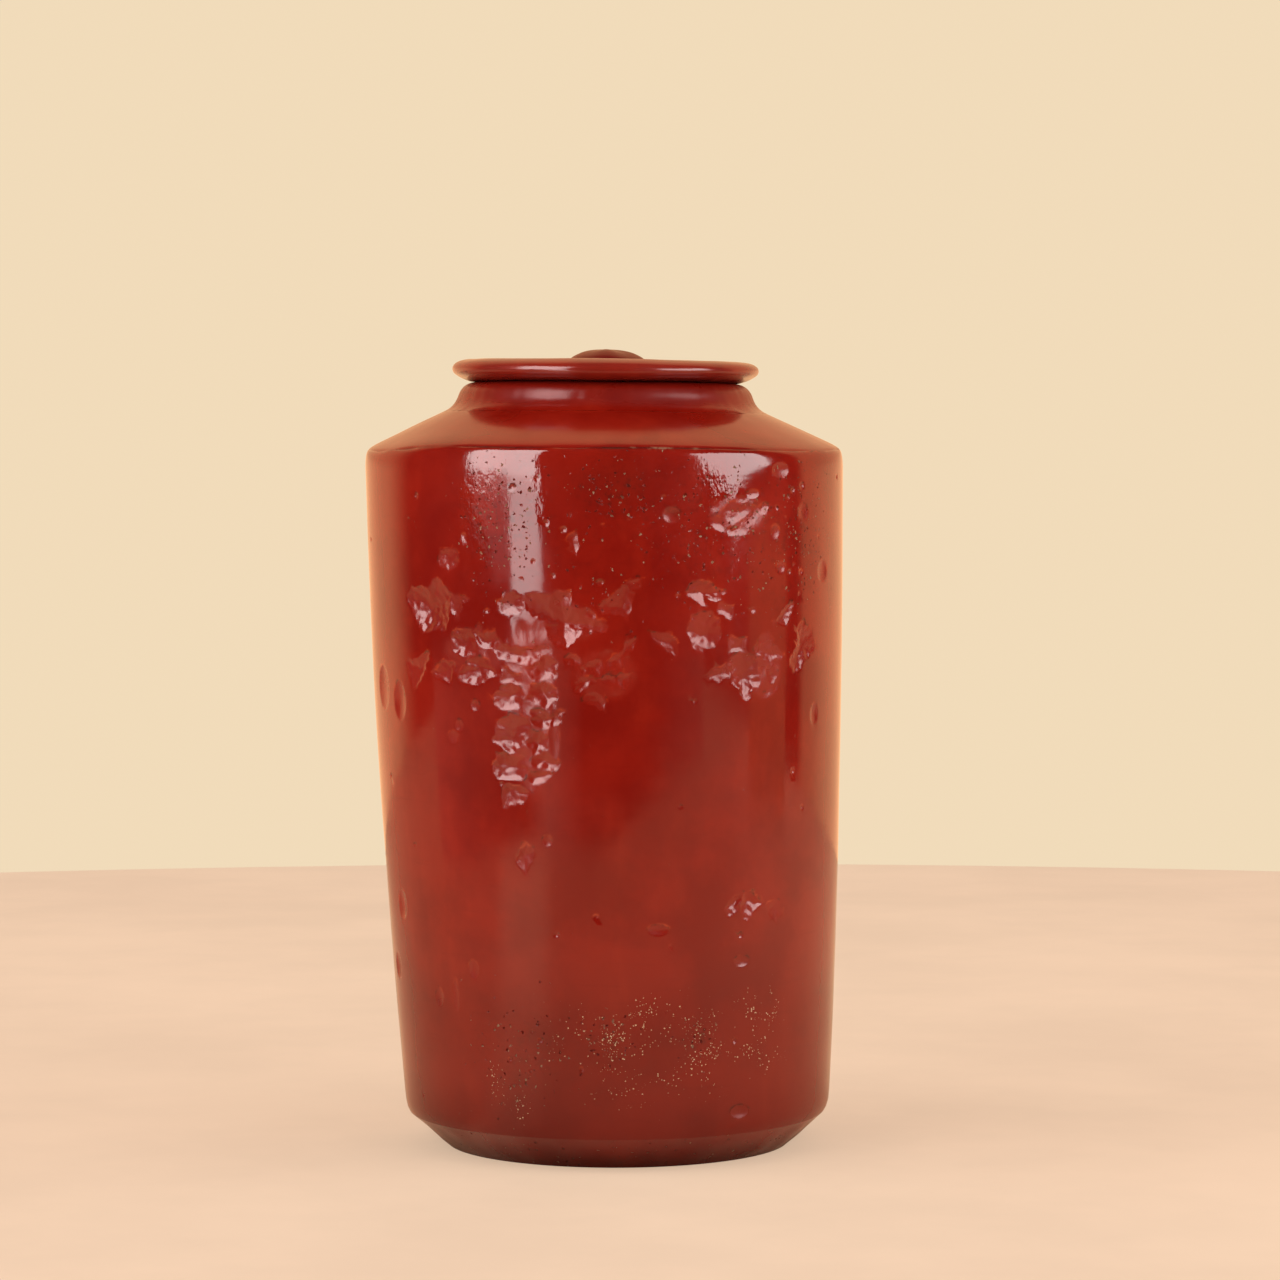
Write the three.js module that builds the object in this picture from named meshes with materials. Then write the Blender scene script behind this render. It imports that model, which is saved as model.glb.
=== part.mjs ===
// A lidded stoneware canister, red all over: a leaning tapered wall on a bevelled foot, a sloping
// shoulder, a low neck with a rounded lip, and a saucer lid with a locating flange and a button knob.
// The potter forms each piece on its own and joins them leather-hard with slip, so every piece here
// is its own solid, and the joints are the seats, spigots, tongue and tenon that such pieces have.
// Millimetres, +Z up. The origin is on the table, under the centre of the shoulder.

import * as THREE from 'three';

// Driving dimensions of the jar
const BODY_RADIUS = 83.8; // widest, just below the shoulder
const BODY_TOP_Z = 238; // where the wall starts to turn in to the shoulder
const SHOULDER_Z = 244.4; // seat of the shoulder on the wall
const LIP_Z = 267.2; // top of the lip, where the lid rests
const FOOT_RADIUS = 60.2; // circle that stands on the table
const BEVEL_Z = 11.6; // seat of the wall on the base, at the top of the foot's bevel
const WALL = 8; // thickness of the wall
const NECK_RADIUS = 51.7;
const MOUTH_RADIUS = 42.5;
const LEAN = 4.3; // how far the foot's centre stands to +X of the shoulder's

// Driving dimensions of the lid
const LID_RADIUS = 53.8;
const LID_TOP_Z = 274.8;
const LID_THICKNESS = 6;
const KNOB_RADIUS = 13.4;
const KNOB_TOP_Z = 279.1;

// Room that slip takes up in a joint, and the play of the lid's flange in the mouth
const SLIP = 0.3;
const MOUTH_PLAY = 1.5;

// How finely the round pieces are cut
const FACETS = 48;
const CURVE_STEPS = 4;

// Sizes that follow from the driving dimensions
const BEVEL_RADIUS = BODY_RADIUS - 10.5;
const HEEL_RADIUS = BODY_RADIUS - 8.9; // outside of the wall, just above the bevel
const HEEL_Z = BEVEL_Z + 6.7;
const BELLY_RADIUS = BODY_RADIUS - 2; // the wall swells a little between heel and shoulder
const BELLY_Z = 112;
const FLOOR_Z = BEVEL_Z + 2.5; // inside floor
const BASE_SPIGOT_RADIUS = HEEL_RADIUS - WALL - 0.5;
const SEAT_RADIUS = BODY_RADIUS - 1.3; // outer edge of the shoulder's seat
const SLOPE_FOOT = { radius: SEAT_RADIUS - 4.5, z: SHOULDER_Z + 2.6 }; // where the shoulder's slope starts
const SKIRT_RADIUS = BODY_RADIUS - WALL - SLIP; // the shoulder's skirt hangs inside the wall
const SKIRT_Z = SHOULDER_Z - 6;
const NECK_SEAM_RADIUS = NECK_RADIUS + 5;
const NECK_SEAM_Z = LIP_Z - 10.3;
const NECK_WAIST_Z = LIP_Z - 4.9;
const NECK_SPIGOT_RADIUS = MOUTH_RADIUS + 6.7; // the neck's spigot fills the hole in the shoulder
const NECK_SPIGOT_Z = NECK_SEAM_Z - 4.4;
const LIP_FLAT_RADIUS = MOUTH_RADIUS + 2.7;
const EDGE = 1; // rounding of inner edges

const DISH_Z = LID_TOP_Z - 3.2; // floor of the lid's dished top
const DISH_RADIUS = 30;
const LID_UNDER_Z = DISH_Z - LID_THICKNESS;
const LID_REST_RADIUS = LIP_FLAT_RADIUS - 0.2;
const FLANGE_RADIUS = MOUTH_RADIUS - MOUTH_PLAY;
const FLANGE_THICKNESS = 6;
const FLANGE_Z = LID_UNDER_Z - 7.8; // bottom of the flange
const TONGUE = { inner: FLANGE_RADIUS - 4.5, outer: FLANGE_RADIUS - 1.5, height: 1.2 };
const TENON = { radius: 8, depth: 1.8 };

const redGlaze = new THREE.MeshStandardMaterial({ color: 0x8f1e14, roughness: 0.16, metalness: 0 });
const buffClay = new THREE.MeshStandardMaterial({ color: 0xa98a68, roughness: 0.8, metalness: 0 });

// A solid of revolution about Z from a profile of (radius, height), its outside running upwards.
function turned(profile) {
  const solid = new THREE.LatheGeometry(profile.getPoints(CURVE_STEPS), FACETS);
  return solid.rotateX(Math.PI / 2);
}

// The body was pushed over as it dried: its foot stands aside, and its shoulder stays in place.
function leaning(solid) {
  const shear = new THREE.Matrix4().makeShear(0, 0, 0, 0, -LEAN / SHOULDER_Z, 0);
  return solid.applyMatrix4(shear).translate(LEAN, 0, 0);
}

function piece(name, solid, material) {
  const mesh = new THREE.Mesh(solid, material);
  mesh.name = name;
  return mesh;
}

// The base is a thick disc: a bevelled foot with a hollow under it, and a spigot that the wall goes round.
function baseDisc() {
  const hollow = { radius: FOOT_RADIUS - 11, depth: 1.5 };
  const profile = new THREE.Path();
  profile.moveTo(0, hollow.depth);
  profile.lineTo(hollow.radius - 2, hollow.depth);
  profile.lineTo(hollow.radius, 0);
  profile.lineTo(FOOT_RADIUS, 0);
  profile.lineTo(BEVEL_RADIUS, BEVEL_Z);
  profile.lineTo(BASE_SPIGOT_RADIUS, BEVEL_Z);
  profile.lineTo(BASE_SPIGOT_RADIUS, FLOOR_Z);
  profile.lineTo(0, FLOOR_Z);
  return leaning(turned(profile));
}

// The wall tapers to the foot, swells slightly, and rounds over to the shoulder's seat.
function bodyWall() {
  const heelTurn = { radius: HEEL_RADIUS - 0.3, z: BEVEL_Z + 1.7 }; // where the bevel would meet the wall
  const cornerZ = SHOULDER_Z - 1; // the wall stays upright almost to its top
  const profile = new THREE.Path();
  profile.moveTo(BEVEL_RADIUS, BEVEL_Z);
  profile.quadraticCurveTo(heelTurn.radius, heelTurn.z, HEEL_RADIUS, HEEL_Z);
  profile.quadraticCurveTo(BELLY_RADIUS, BELLY_Z, BODY_RADIUS, BODY_TOP_Z);
  profile.quadraticCurveTo(BODY_RADIUS, cornerZ, SEAT_RADIUS, SHOULDER_Z);
  profile.lineTo(BODY_RADIUS - WALL, SHOULDER_Z);
  profile.lineTo(BODY_RADIUS - WALL, BODY_TOP_Z);
  profile.quadraticCurveTo(BELLY_RADIUS - WALL, BELLY_Z, HEEL_RADIUS - WALL, HEEL_Z);
  profile.lineTo(BASE_SPIGOT_RADIUS + SLIP, BEVEL_Z);
  profile.closePath();
  return leaning(turned(profile));
}

// The shoulder is a shallow cone that sits on the wall, with a skirt inside it and a hole for the neck.
function shoulderRing() {
  const holeRadius = NECK_SPIGOT_RADIUS + SLIP;
  const edge = { radius: SEAT_RADIUS - 1, z: SHOULDER_Z + 1 }; // its outer edge is worn round
  const profile = new THREE.Path();
  profile.moveTo(SEAT_RADIUS, SHOULDER_Z);
  profile.quadraticCurveTo(edge.radius, edge.z, SLOPE_FOOT.radius, SLOPE_FOOT.z);
  profile.lineTo(NECK_SEAM_RADIUS, NECK_SEAM_Z);
  profile.lineTo(holeRadius, NECK_SEAM_Z);
  profile.lineTo(holeRadius, NECK_SPIGOT_Z);
  profile.lineTo(SKIRT_RADIUS, SKIRT_Z);
  profile.lineTo(SKIRT_RADIUS, SHOULDER_Z);
  profile.closePath();
  return turned(profile);
}

// The neck sweeps up out of the shoulder to a thick rounded lip.
function neckCollar() {
  const sweep = { radius: NECK_RADIUS + 1.3, z: NECK_SEAM_Z + 1.7 };
  const lipTurn = NECK_RADIUS - 1.5;
  const profile = new THREE.Path();
  profile.moveTo(NECK_SEAM_RADIUS, NECK_SEAM_Z);
  profile.quadraticCurveTo(sweep.radius, sweep.z, NECK_RADIUS, NECK_WAIST_Z);
  profile.quadraticCurveTo(lipTurn, LIP_Z, LIP_FLAT_RADIUS, LIP_Z);
  profile.lineTo(MOUTH_RADIUS + EDGE, LIP_Z);
  profile.quadraticCurveTo(MOUTH_RADIUS, LIP_Z, MOUTH_RADIUS, LIP_Z - EDGE);
  profile.lineTo(MOUTH_RADIUS, NECK_SPIGOT_Z);
  profile.lineTo(NECK_SPIGOT_RADIUS, NECK_SPIGOT_Z);
  profile.lineTo(NECK_SPIGOT_RADIUS, NECK_SEAM_Z);
  profile.closePath();
  return turned(profile);
}

// The lid is a saucer with a fat rounded rim. It has a groove below for the flange and a socket above
// for the knob, and its underside rests on the lip just inside the rim.
function lidPlate() {
  const groove = {
    inner: TONGUE.inner - SLIP,
    outer: TONGUE.outer + SLIP,
    top: LID_UNDER_Z + TONGUE.height + SLIP,
  };
  const rim = {
    underRadius: LID_RADIUS - 1.2,
    underZ: LIP_Z + 2.1,
    widestZ: LIP_Z + 3.7,
    topRadius: LID_RADIUS - 5,
  };
  const lowerTurnZ = rim.underZ + 0.4;
  const upperTurn = { radius: LID_RADIUS - 0.6, z: LID_TOP_Z - 0.4 };
  const dishTurn = DISH_RADIUS + 10;
  const profile = new THREE.Path();
  profile.moveTo(0, LID_UNDER_Z);
  profile.lineTo(groove.inner, LID_UNDER_Z);
  profile.lineTo(groove.inner, groove.top);
  profile.lineTo(groove.outer, groove.top);
  profile.lineTo(groove.outer, LID_UNDER_Z);
  profile.lineTo(FLANGE_RADIUS, LID_UNDER_Z);
  profile.lineTo(MOUTH_RADIUS, LIP_Z);
  profile.lineTo(LID_REST_RADIUS, LIP_Z);
  profile.lineTo(rim.underRadius, rim.underZ);
  profile.quadraticCurveTo(LID_RADIUS, lowerTurnZ, LID_RADIUS, rim.widestZ);
  profile.quadraticCurveTo(upperTurn.radius, upperTurn.z, rim.topRadius, LID_TOP_Z);
  profile.quadraticCurveTo(dishTurn, LID_TOP_Z, DISH_RADIUS, DISH_Z);
  profile.lineTo(TENON.radius + SLIP, DISH_Z);
  profile.lineTo(TENON.radius + SLIP, DISH_Z - TENON.depth);
  profile.lineTo(0, DISH_Z - TENON.depth);
  return turned(profile);
}

// The flange keeps the lid centred in the mouth. Its tongue is set in the lid's groove.
function lidFlange() {
  const innerRadius = FLANGE_RADIUS - FLANGE_THICKNESS;
  const profile = new THREE.Path();
  profile.moveTo(innerRadius + EDGE, FLANGE_Z);
  profile.lineTo(FLANGE_RADIUS - EDGE, FLANGE_Z);
  profile.quadraticCurveTo(FLANGE_RADIUS, FLANGE_Z, FLANGE_RADIUS, FLANGE_Z + EDGE);
  profile.lineTo(FLANGE_RADIUS, LID_UNDER_Z);
  profile.lineTo(TONGUE.outer, LID_UNDER_Z);
  profile.lineTo(TONGUE.outer, LID_UNDER_Z + TONGUE.height);
  profile.lineTo(TONGUE.inner, LID_UNDER_Z + TONGUE.height);
  profile.lineTo(TONGUE.inner, LID_UNDER_Z);
  profile.lineTo(innerRadius, LID_UNDER_Z);
  profile.lineTo(innerRadius, FLANGE_Z + EDGE);
  profile.quadraticCurveTo(innerRadius, FLANGE_Z, innerRadius + EDGE, FLANGE_Z);
  return turned(profile);
}

// The knob is a low button with a waist to get fingertips under, and a tenon in the lid's socket.
function lidKnob() {
  const footRadius = KNOB_RADIUS - 3;
  const waist = { radius: KNOB_RADIUS - 5, z: DISH_Z + 1.2 };
  const head = {
    underRadius: KNOB_RADIUS - 1,
    underZ: DISH_Z + 2,
    lowerTurnZ: DISH_Z + 2.3,
    widestZ: DISH_Z + 3.2,
    upperTurnZ: DISH_Z + 4.4,
  };
  const crown = { radius: KNOB_RADIUS - 3.2, z: KNOB_TOP_Z - 1.7, flat: KNOB_RADIUS / 2 };
  const profile = new THREE.Path();
  profile.moveTo(0, DISH_Z - TENON.depth);
  profile.lineTo(TENON.radius, DISH_Z - TENON.depth);
  profile.lineTo(TENON.radius, DISH_Z);
  profile.lineTo(footRadius, DISH_Z);
  profile.quadraticCurveTo(waist.radius, waist.z, head.underRadius, head.underZ);
  profile.quadraticCurveTo(KNOB_RADIUS, head.lowerTurnZ, KNOB_RADIUS, head.widestZ);
  profile.quadraticCurveTo(KNOB_RADIUS, head.upperTurnZ, crown.radius, crown.z);
  profile.quadraticCurveTo(crown.flat, KNOB_TOP_Z, 0, KNOB_TOP_Z);
  return turned(profile);
}

const jar = new THREE.Group();
jar.add(piece('base_disc', baseDisc(), redGlaze));
jar.add(piece('body_wall', bodyWall(), redGlaze));
jar.add(piece('shoulder_ring', shoulderRing(), redGlaze));
jar.add(piece('neck_collar', neckCollar(), redGlaze));

const lid = new THREE.Group();
lid.add(piece('lid_plate', lidPlate(), redGlaze));
lid.add(piece('lid_flange', lidFlange(), buffClay));
lid.add(piece('lid_knob', lidKnob(), redGlaze));

const canister = new THREE.Group();
canister.add(jar, lid);

export default canister;
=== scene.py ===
"""Dresses the lidded clay canister: a leaning red jar with flakes, pits and dust, and its saucer lid.

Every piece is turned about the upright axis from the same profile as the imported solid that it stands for.
The outside then gets its relief: a slow wobble, flakes, dents, pits and the joint line that the potter left.
"""

import math
from typing import NamedTuple

import bpy
import numpy as np
from bpy.props import FloatProperty, FloatVectorProperty, IntProperty, PointerProperty
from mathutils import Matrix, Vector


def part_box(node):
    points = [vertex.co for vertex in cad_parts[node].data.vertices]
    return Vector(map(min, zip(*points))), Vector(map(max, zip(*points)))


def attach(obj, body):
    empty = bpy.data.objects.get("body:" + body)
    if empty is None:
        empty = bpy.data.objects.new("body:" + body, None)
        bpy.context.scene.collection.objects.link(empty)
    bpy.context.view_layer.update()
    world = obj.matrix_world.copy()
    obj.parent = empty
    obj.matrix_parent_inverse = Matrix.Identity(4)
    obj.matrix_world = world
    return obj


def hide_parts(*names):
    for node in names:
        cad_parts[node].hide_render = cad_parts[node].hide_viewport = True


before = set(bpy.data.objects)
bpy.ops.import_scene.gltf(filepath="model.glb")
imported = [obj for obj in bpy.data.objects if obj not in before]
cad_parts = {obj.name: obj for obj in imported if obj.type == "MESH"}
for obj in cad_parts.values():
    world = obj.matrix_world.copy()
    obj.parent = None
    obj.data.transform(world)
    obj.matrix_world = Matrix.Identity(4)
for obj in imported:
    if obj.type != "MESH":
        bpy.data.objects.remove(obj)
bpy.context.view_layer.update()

bl_info = {
    "name": "Lidded clay canister",
    "version": (1, 0, 0),
    "blender": (4, 5, 0),
    "location": "3D View > Sidebar > Canister",
    "description": "Makes the red clay canister's pieces around its frame, with a studio to see them in",
    "category": "Object",
}

MM = 0.001

# Sizes that the frame gives
BASE_LOW, BASE_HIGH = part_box("base_disc")
WALL_LOW, WALL_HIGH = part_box("body_wall")
SHOULDER_LOW, SHOULDER_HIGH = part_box("shoulder_ring")
NECK_LOW, NECK_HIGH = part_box("neck_collar")
PLATE_LOW, PLATE_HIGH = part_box("lid_plate")
FLANGE_LOW, FLANGE_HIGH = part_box("lid_flange")
KNOB_LOW, KNOB_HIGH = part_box("lid_knob")


def half_width(low, high):
    """Radius of a round piece, from its box."""
    return (high.y - low.y) / 2


BODY_RADIUS = half_width(WALL_LOW, WALL_HIGH)
BEVEL_Z = WALL_LOW.z
FLOOR_Z = BASE_HIGH.z
SHOULDER_Z = WALL_HIGH.z
SEAT_RADIUS = half_width(SHOULDER_LOW, SHOULDER_HIGH)
SKIRT_Z = SHOULDER_LOW.z
NECK_SEAM_Z = SHOULDER_HIGH.z
NECK_SEAM_RADIUS = half_width(NECK_LOW, NECK_HIGH)
NECK_SPIGOT_Z = NECK_LOW.z
LIP_Z = NECK_HIGH.z
BEVEL_RADIUS = half_width(BASE_LOW, BASE_HIGH)
LID_RADIUS = half_width(PLATE_LOW, PLATE_HIGH)
LID_UNDER_Z = PLATE_LOW.z
LID_TOP_Z = PLATE_HIGH.z
FLANGE_RADIUS = half_width(FLANGE_LOW, FLANGE_HIGH)
FLANGE_Z = FLANGE_LOW.z
TONGUE_TOP_Z = FLANGE_HIGH.z
KNOB_RADIUS = half_width(KNOB_LOW, KNOB_HIGH)
TENON_Z = KNOB_LOW.z
KNOB_TOP_Z = KNOB_HIGH.z
LEAN = (BASE_LOW.x + BASE_HIGH.x) / 2 / (1 - BEVEL_Z / SHOULDER_Z)

# Sizes of the profile that a box doesn't show
WALL = 8 * MM
SLIP = 0.3 * MM
EDGE = 1 * MM
FOOT_RADIUS = BEVEL_RADIUS - 13.1 * MM
HOLLOW_RADIUS = FOOT_RADIUS - 11 * MM
HOLLOW_DEPTH = 1.5 * MM
HEEL_RADIUS = BODY_RADIUS - 8.9 * MM
HEEL_Z = BEVEL_Z + 6.7 * MM
BELLY_RADIUS = BODY_RADIUS - 2 * MM
BELLY_Z = 112 * MM
BODY_TOP_Z = SHOULDER_Z - 6.4 * MM
BASE_SPIGOT_RADIUS = HEEL_RADIUS - WALL - 0.5 * MM
SKIRT_RADIUS = BODY_RADIUS - WALL - SLIP
NECK_RADIUS = NECK_SEAM_RADIUS - 5 * MM
NECK_WAIST_Z = LIP_Z - 4.9 * MM
MOUTH_RADIUS = FLANGE_RADIUS + 1.5 * MM
NECK_SPIGOT_RADIUS = MOUTH_RADIUS + 6.7 * MM
LIP_FLAT_RADIUS = MOUTH_RADIUS + 2.7 * MM
DISH_Z = LID_TOP_Z - 3.2 * MM
DISH_RADIUS = 30 * MM
LID_REST_RADIUS = LIP_FLAT_RADIUS - 0.2 * MM
TONGUE_INNER = FLANGE_RADIUS - 4.5 * MM
TONGUE_OUTER = FLANGE_RADIUS - 1.5 * MM
FLANGE_INNER = FLANGE_RADIUS - 6 * MM
TENON_RADIUS = 8 * MM

# Where the hand-made form strays from the profile
BOW_FOOT_Z = 100 * MM
TUCK_FOOT_Z = SHOULDER_Z - 22.4 * MM
TUCK_TOP_Z = SHOULDER_Z + 4 * MM
EDGE_WAVE_REACH = 6 * MM
KNOB_SHIFT_RADIUS = LID_RADIUS - 8 * MM

# Widths along the profile over which the joint line fades
GROOVE_WIDTH = 0.6 * MM
SEAM_WIDTH_BELOW = 0.5 * MM
SEAM_WIDTH_ABOVE = 0.42 * MM


# What a user would change

COLOUR = {"size": 3, "subtype": "COLOR"}


class CanisterShape(bpy.types.PropertyGroup):
    """How the hand-made form strays from a true turned one."""

    bow: FloatProperty(
        name="Bow", description="How far the upper wall bows to the left", default=0.5 * MM, unit="LENGTH")
    tip: FloatProperty(
        name="Tip", description="How far the mouth and lid tip to the right", default=math.radians(0.6),
        subtype="ANGLE")
    mouth_aside: FloatProperty(
        name="Mouth aside", description="How far the mouth and lid sit to the right", default=0.7 * MM,
        unit="LENGTH")
    knob_aside: FloatProperty(
        name="Knob aside", description="How far the knob sits to the right of the lid's middle",
        default=0.6 * MM, unit="LENGTH")
    wobble: FloatProperty(
        name="Wobble", description="Height of the slow waves in the surface", default=0.12 * MM,
        unit="LENGTH")
    tuck: FloatProperty(
        name="Tuck", description="How far the front of the shoulder's edge is pressed in", default=0.5 * MM,
        unit="LENGTH")
    sag: FloatProperty(
        name="Sag", description="How far the lid's rim dips in front and behind, and rises at its ends",
        default=0.55 * MM, unit="LENGTH")
    seam_depth: FloatProperty(
        name="Seam depth", description="Depth of the joint line round the shoulder", default=0.3 * MM,
        unit="LENGTH")


class CanisterWear(bpy.types.PropertyGroup):
    """The damage that the coat covers."""

    flake_depth: FloatProperty(
        name="Flake depth", description="Depth of the flakes, as a share of the noted one", default=1.0,
        min=0.0)
    pits: IntProperty(
        name="Pits", description="Number of burst bubbles in the wall", default=110, min=0)
    pit_depth: FloatProperty(
        name="Pit depth", description="Depth of the largest pits", default=0.45 * MM, unit="LENGTH")
    seed: IntProperty(name="Seed", description="Start of the scatter", default=7)


class CanisterFinish(bpy.types.PropertyGroup):
    """Colours and gloss of the coat and the clay."""

    deep_red: FloatVectorProperty(
        name="Deep red", description="Darkest red of the coat", default=(0.17, 0.0042, 0.0016), **COLOUR)
    plain_red: FloatVectorProperty(
        name="Plain red", description="Usual red of the coat", default=(0.225, 0.0078, 0.003), **COLOUR)
    warm_red: FloatVectorProperty(
        name="Warm red", description="Thin, lighter strokes of the coat",
        default=(0.31, 0.019, 0.0065), **COLOUR)
    # Edge orange also paints glints along stretches of the joint line.
    edge_orange: FloatVectorProperty(
        name="Edge orange", description="Worn upper edges of the flakes",
        default=(0.5, 0.06, 0.016), **COLOUR)
    # This colour also paints shade: in pits, along flake edges, in the joint line's groove, under the lid
    # and towards the foot.
    soot_and_shade: FloatVectorProperty(
        name="Soot", description="Bottom of pits and dark stretches of the seams",
        default=(0.03, 0.007, 0.0045), **COLOUR)
    # The dust colour also paints glints on some pinholes.
    dust: FloatVectorProperty(
        name="Dust", description="Pale dust in pinholes", default=(0.5, 0.36, 0.22), **COLOUR)
    clay: FloatVectorProperty(
        name="Clay", description="Bare fired clay", default=(0.36, 0.22, 0.125), **COLOUR)
    gloss: FloatProperty(
        name="Gloss roughness", description="Roughness of the clean coat", default=0.07, min=0.0, max=1.0,
        subtype="FACTOR")


class CanisterStudio(bpy.types.PropertyGroup):
    """Camera, floor and light."""

    lens: FloatProperty(
        name="Lens", description="Focal length, in millimetres", default=116.7)
    distance: FloatProperty(
        name="Distance", description="From the lens to the canister's axis", default=1.461, unit="LENGTH")
    eye_height: FloatProperty(
        name="Eye height", description="Lens above the floor", default=0.2406, unit="LENGTH")
    aside: FloatProperty(
        name="Aside", description="Lens to the right of the axis", default=0.0126, unit="LENGTH")
    pitch: FloatProperty(
        name="Pitch", description="How far the lens looks down", default=math.radians(2.497),
        subtype="ANGLE")
    roll: FloatProperty(
        name="Roll", description="How far the lens is turned about its own line of sight",
        default=math.radians(0.1), subtype="ANGLE")
    floor: FloatVectorProperty(
        name="Floor", description="Pale cloth", default=(0.855, 0.631, 0.456), **COLOUR)
    backdrop: FloatVectorProperty(
        name="Backdrop", description="Pale paper behind the canister", default=(0.88, 0.71, 0.49), **COLOUR)
    room: FloatVectorProperty(
        name="Room", description="Dim studio in front of the canister",
        default=(0.05, 0.043, 0.036), **COLOUR)
    warm_paper: FloatVectorProperty(
        name="Warm paper", description="The backdrop as the coat mirrors it", default=(0.85, 0.46, 0.225),
        **COLOUR)
    softbox: FloatProperty(
        name="Softboxes", description="Brightness of the softboxes that the coat mirrors", default=9.9,
        min=0.0)
    fill: FloatProperty(
        name="Fill", description="Brightness of the broad light", default=2.25, min=0.0)


# The profile, as runs of (radius, height)

class Run(NamedTuple):
    """One stretch of a profile: its points, whether it has the outside's relief, and how bare it is."""

    points: np.ndarray
    skin: bool
    bare: float


def line(start, end, steps):
    """Evenly spaced points along a straight stretch."""
    share = np.linspace(0, 1, steps + 1)[:, None]
    return np.array(start) * (1 - share) + np.array(end) * share


def polyline(points, steps):
    """Points along straight stretches, with a number of steps for each."""
    stretches = [line(start, end, count)[:-1] for start, end, count in zip(points, points[1:], steps)]
    return np.concatenate([*stretches, [points[-1]]])


def curve(start, control, end, steps):
    """Points along a quadratic curve, as the solid has it."""
    share = np.linspace(0, 1, steps + 1)[:, None]
    first = np.array(start) * (1 - share) + np.array(control) * share
    second = np.array(control) * (1 - share) + np.array(end) * share
    return first * (1 - share) + second * share


def coated(points):
    """A run of the outside, with coat and relief."""
    return Run(points, True, 0.0)


def inner_coat(points):
    """A run with coat but no relief, where another piece sits or passes."""
    return Run(points, False, 0.0)


def bare(points):
    """A run of bare clay."""
    return Run(points, False, 1.0)


class Lattice(NamedTuple):
    """A profile's rows: points, outward directions, length so far, relief mask and bareness."""

    points: np.ndarray
    outward: np.ndarray
    travel: np.ndarray
    skin: np.ndarray
    bare: np.ndarray

    @property
    def radii(self):
        """The rows' radii, as a column."""
        return self.points[:, :1]

    @property
    def heights(self):
        """The rows' heights, as a column."""
        return self.points[:, 1:]


def stack(runs):
    """Joins runs end to end. Neighbouring runs share a row."""
    count = sum(len(run.points) - 1 for run in runs) + 1
    points = np.zeros((count, 2))
    outward = np.zeros((count, 2))
    skin = np.zeros(count, bool)
    bareness = np.ones(count)
    row = 0
    for run in runs:
        rows = slice(row, row + len(run.points))
        along = np.gradient(run.points, axis=0)
        points[rows] = run.points
        if run.skin:
            across = np.stack([along[:, 1], -along[:, 0]], 1)
            outward[rows] += across / np.linalg.norm(along, axis=1)[:, None]
        skin[rows] |= run.skin
        bareness[rows] = np.minimum(bareness[rows], run.bare)
        row += len(run.points) - 1
    outward[skin] /= np.linalg.norm(outward[skin], axis=1)[:, None]
    steps = np.linalg.norm(np.diff(points, axis=0), axis=1)
    return Lattice(points, outward, np.concatenate([[0], np.cumsum(steps)]), skin, bareness)


# The hand-made form

def eased(value, low, high):
    """0 up to low, 1 from high, with a smooth way between."""
    share = np.clip((value - low) / (high - low), 0, 1)
    return share * share * (3 - 2 * share)


def bell(distance, reach):
    """1 at no distance, falling smoothly to about a third at the reach."""
    return np.exp(-(distance / reach) ** 2)


class Wave(NamedTuple):
    """One rise or dip along the shoulder's edge: its middle and half width in degrees, and its height."""

    angle: float
    wide: float
    rise: float


EDGE_WAVES = [  # rises in millimetres
    Wave(-38, 16, 0.6), Wave(58, 25, -1.0), Wave(-70, 14, -0.9), Wave(150, 30, 0.7), Wave(-150, 25, -0.6)]
# Stretches of the joint line: pale worn clay, the darkest painted shade, painted orange glints, and where it
# fades.
PALE_SEAM = [Wave(14, 8, 0.62), Wave(110, 12, 0.6), Wave(-110, 15, 0.6), Wave(190, 20, 0.6)]
DARKEST_SEAM = [Wave(2, 3, 1.0), Wave(-31, 3, 0.9), Wave(160, 8, 0.8), Wave(-140, 10, 0.8)]
ORANGE_SEAM = [Wave(52, 16, 1.0), Wave(-8, 6, 0.7), Wave(130, 12, 0.8), Wave(-48, 10, 0.6)]
FAINT_SEAM = [Wave(-75, 20, 1.0), Wave(66, 22, 0.9)]
RIPPLE_WAVES = 18


def wrapped(angle):
    """An angle from the front, between half a turn to the left and half a turn to the right."""
    return (angle + np.pi) % (2 * np.pi) - np.pi


def along_edge(waves, angle):
    """The sum of some waves, at each angle."""
    return sum(
        wave.rise * bell(wrapped(angle - math.radians(wave.angle)), math.radians(wave.wide))
        for wave in waves)


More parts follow.
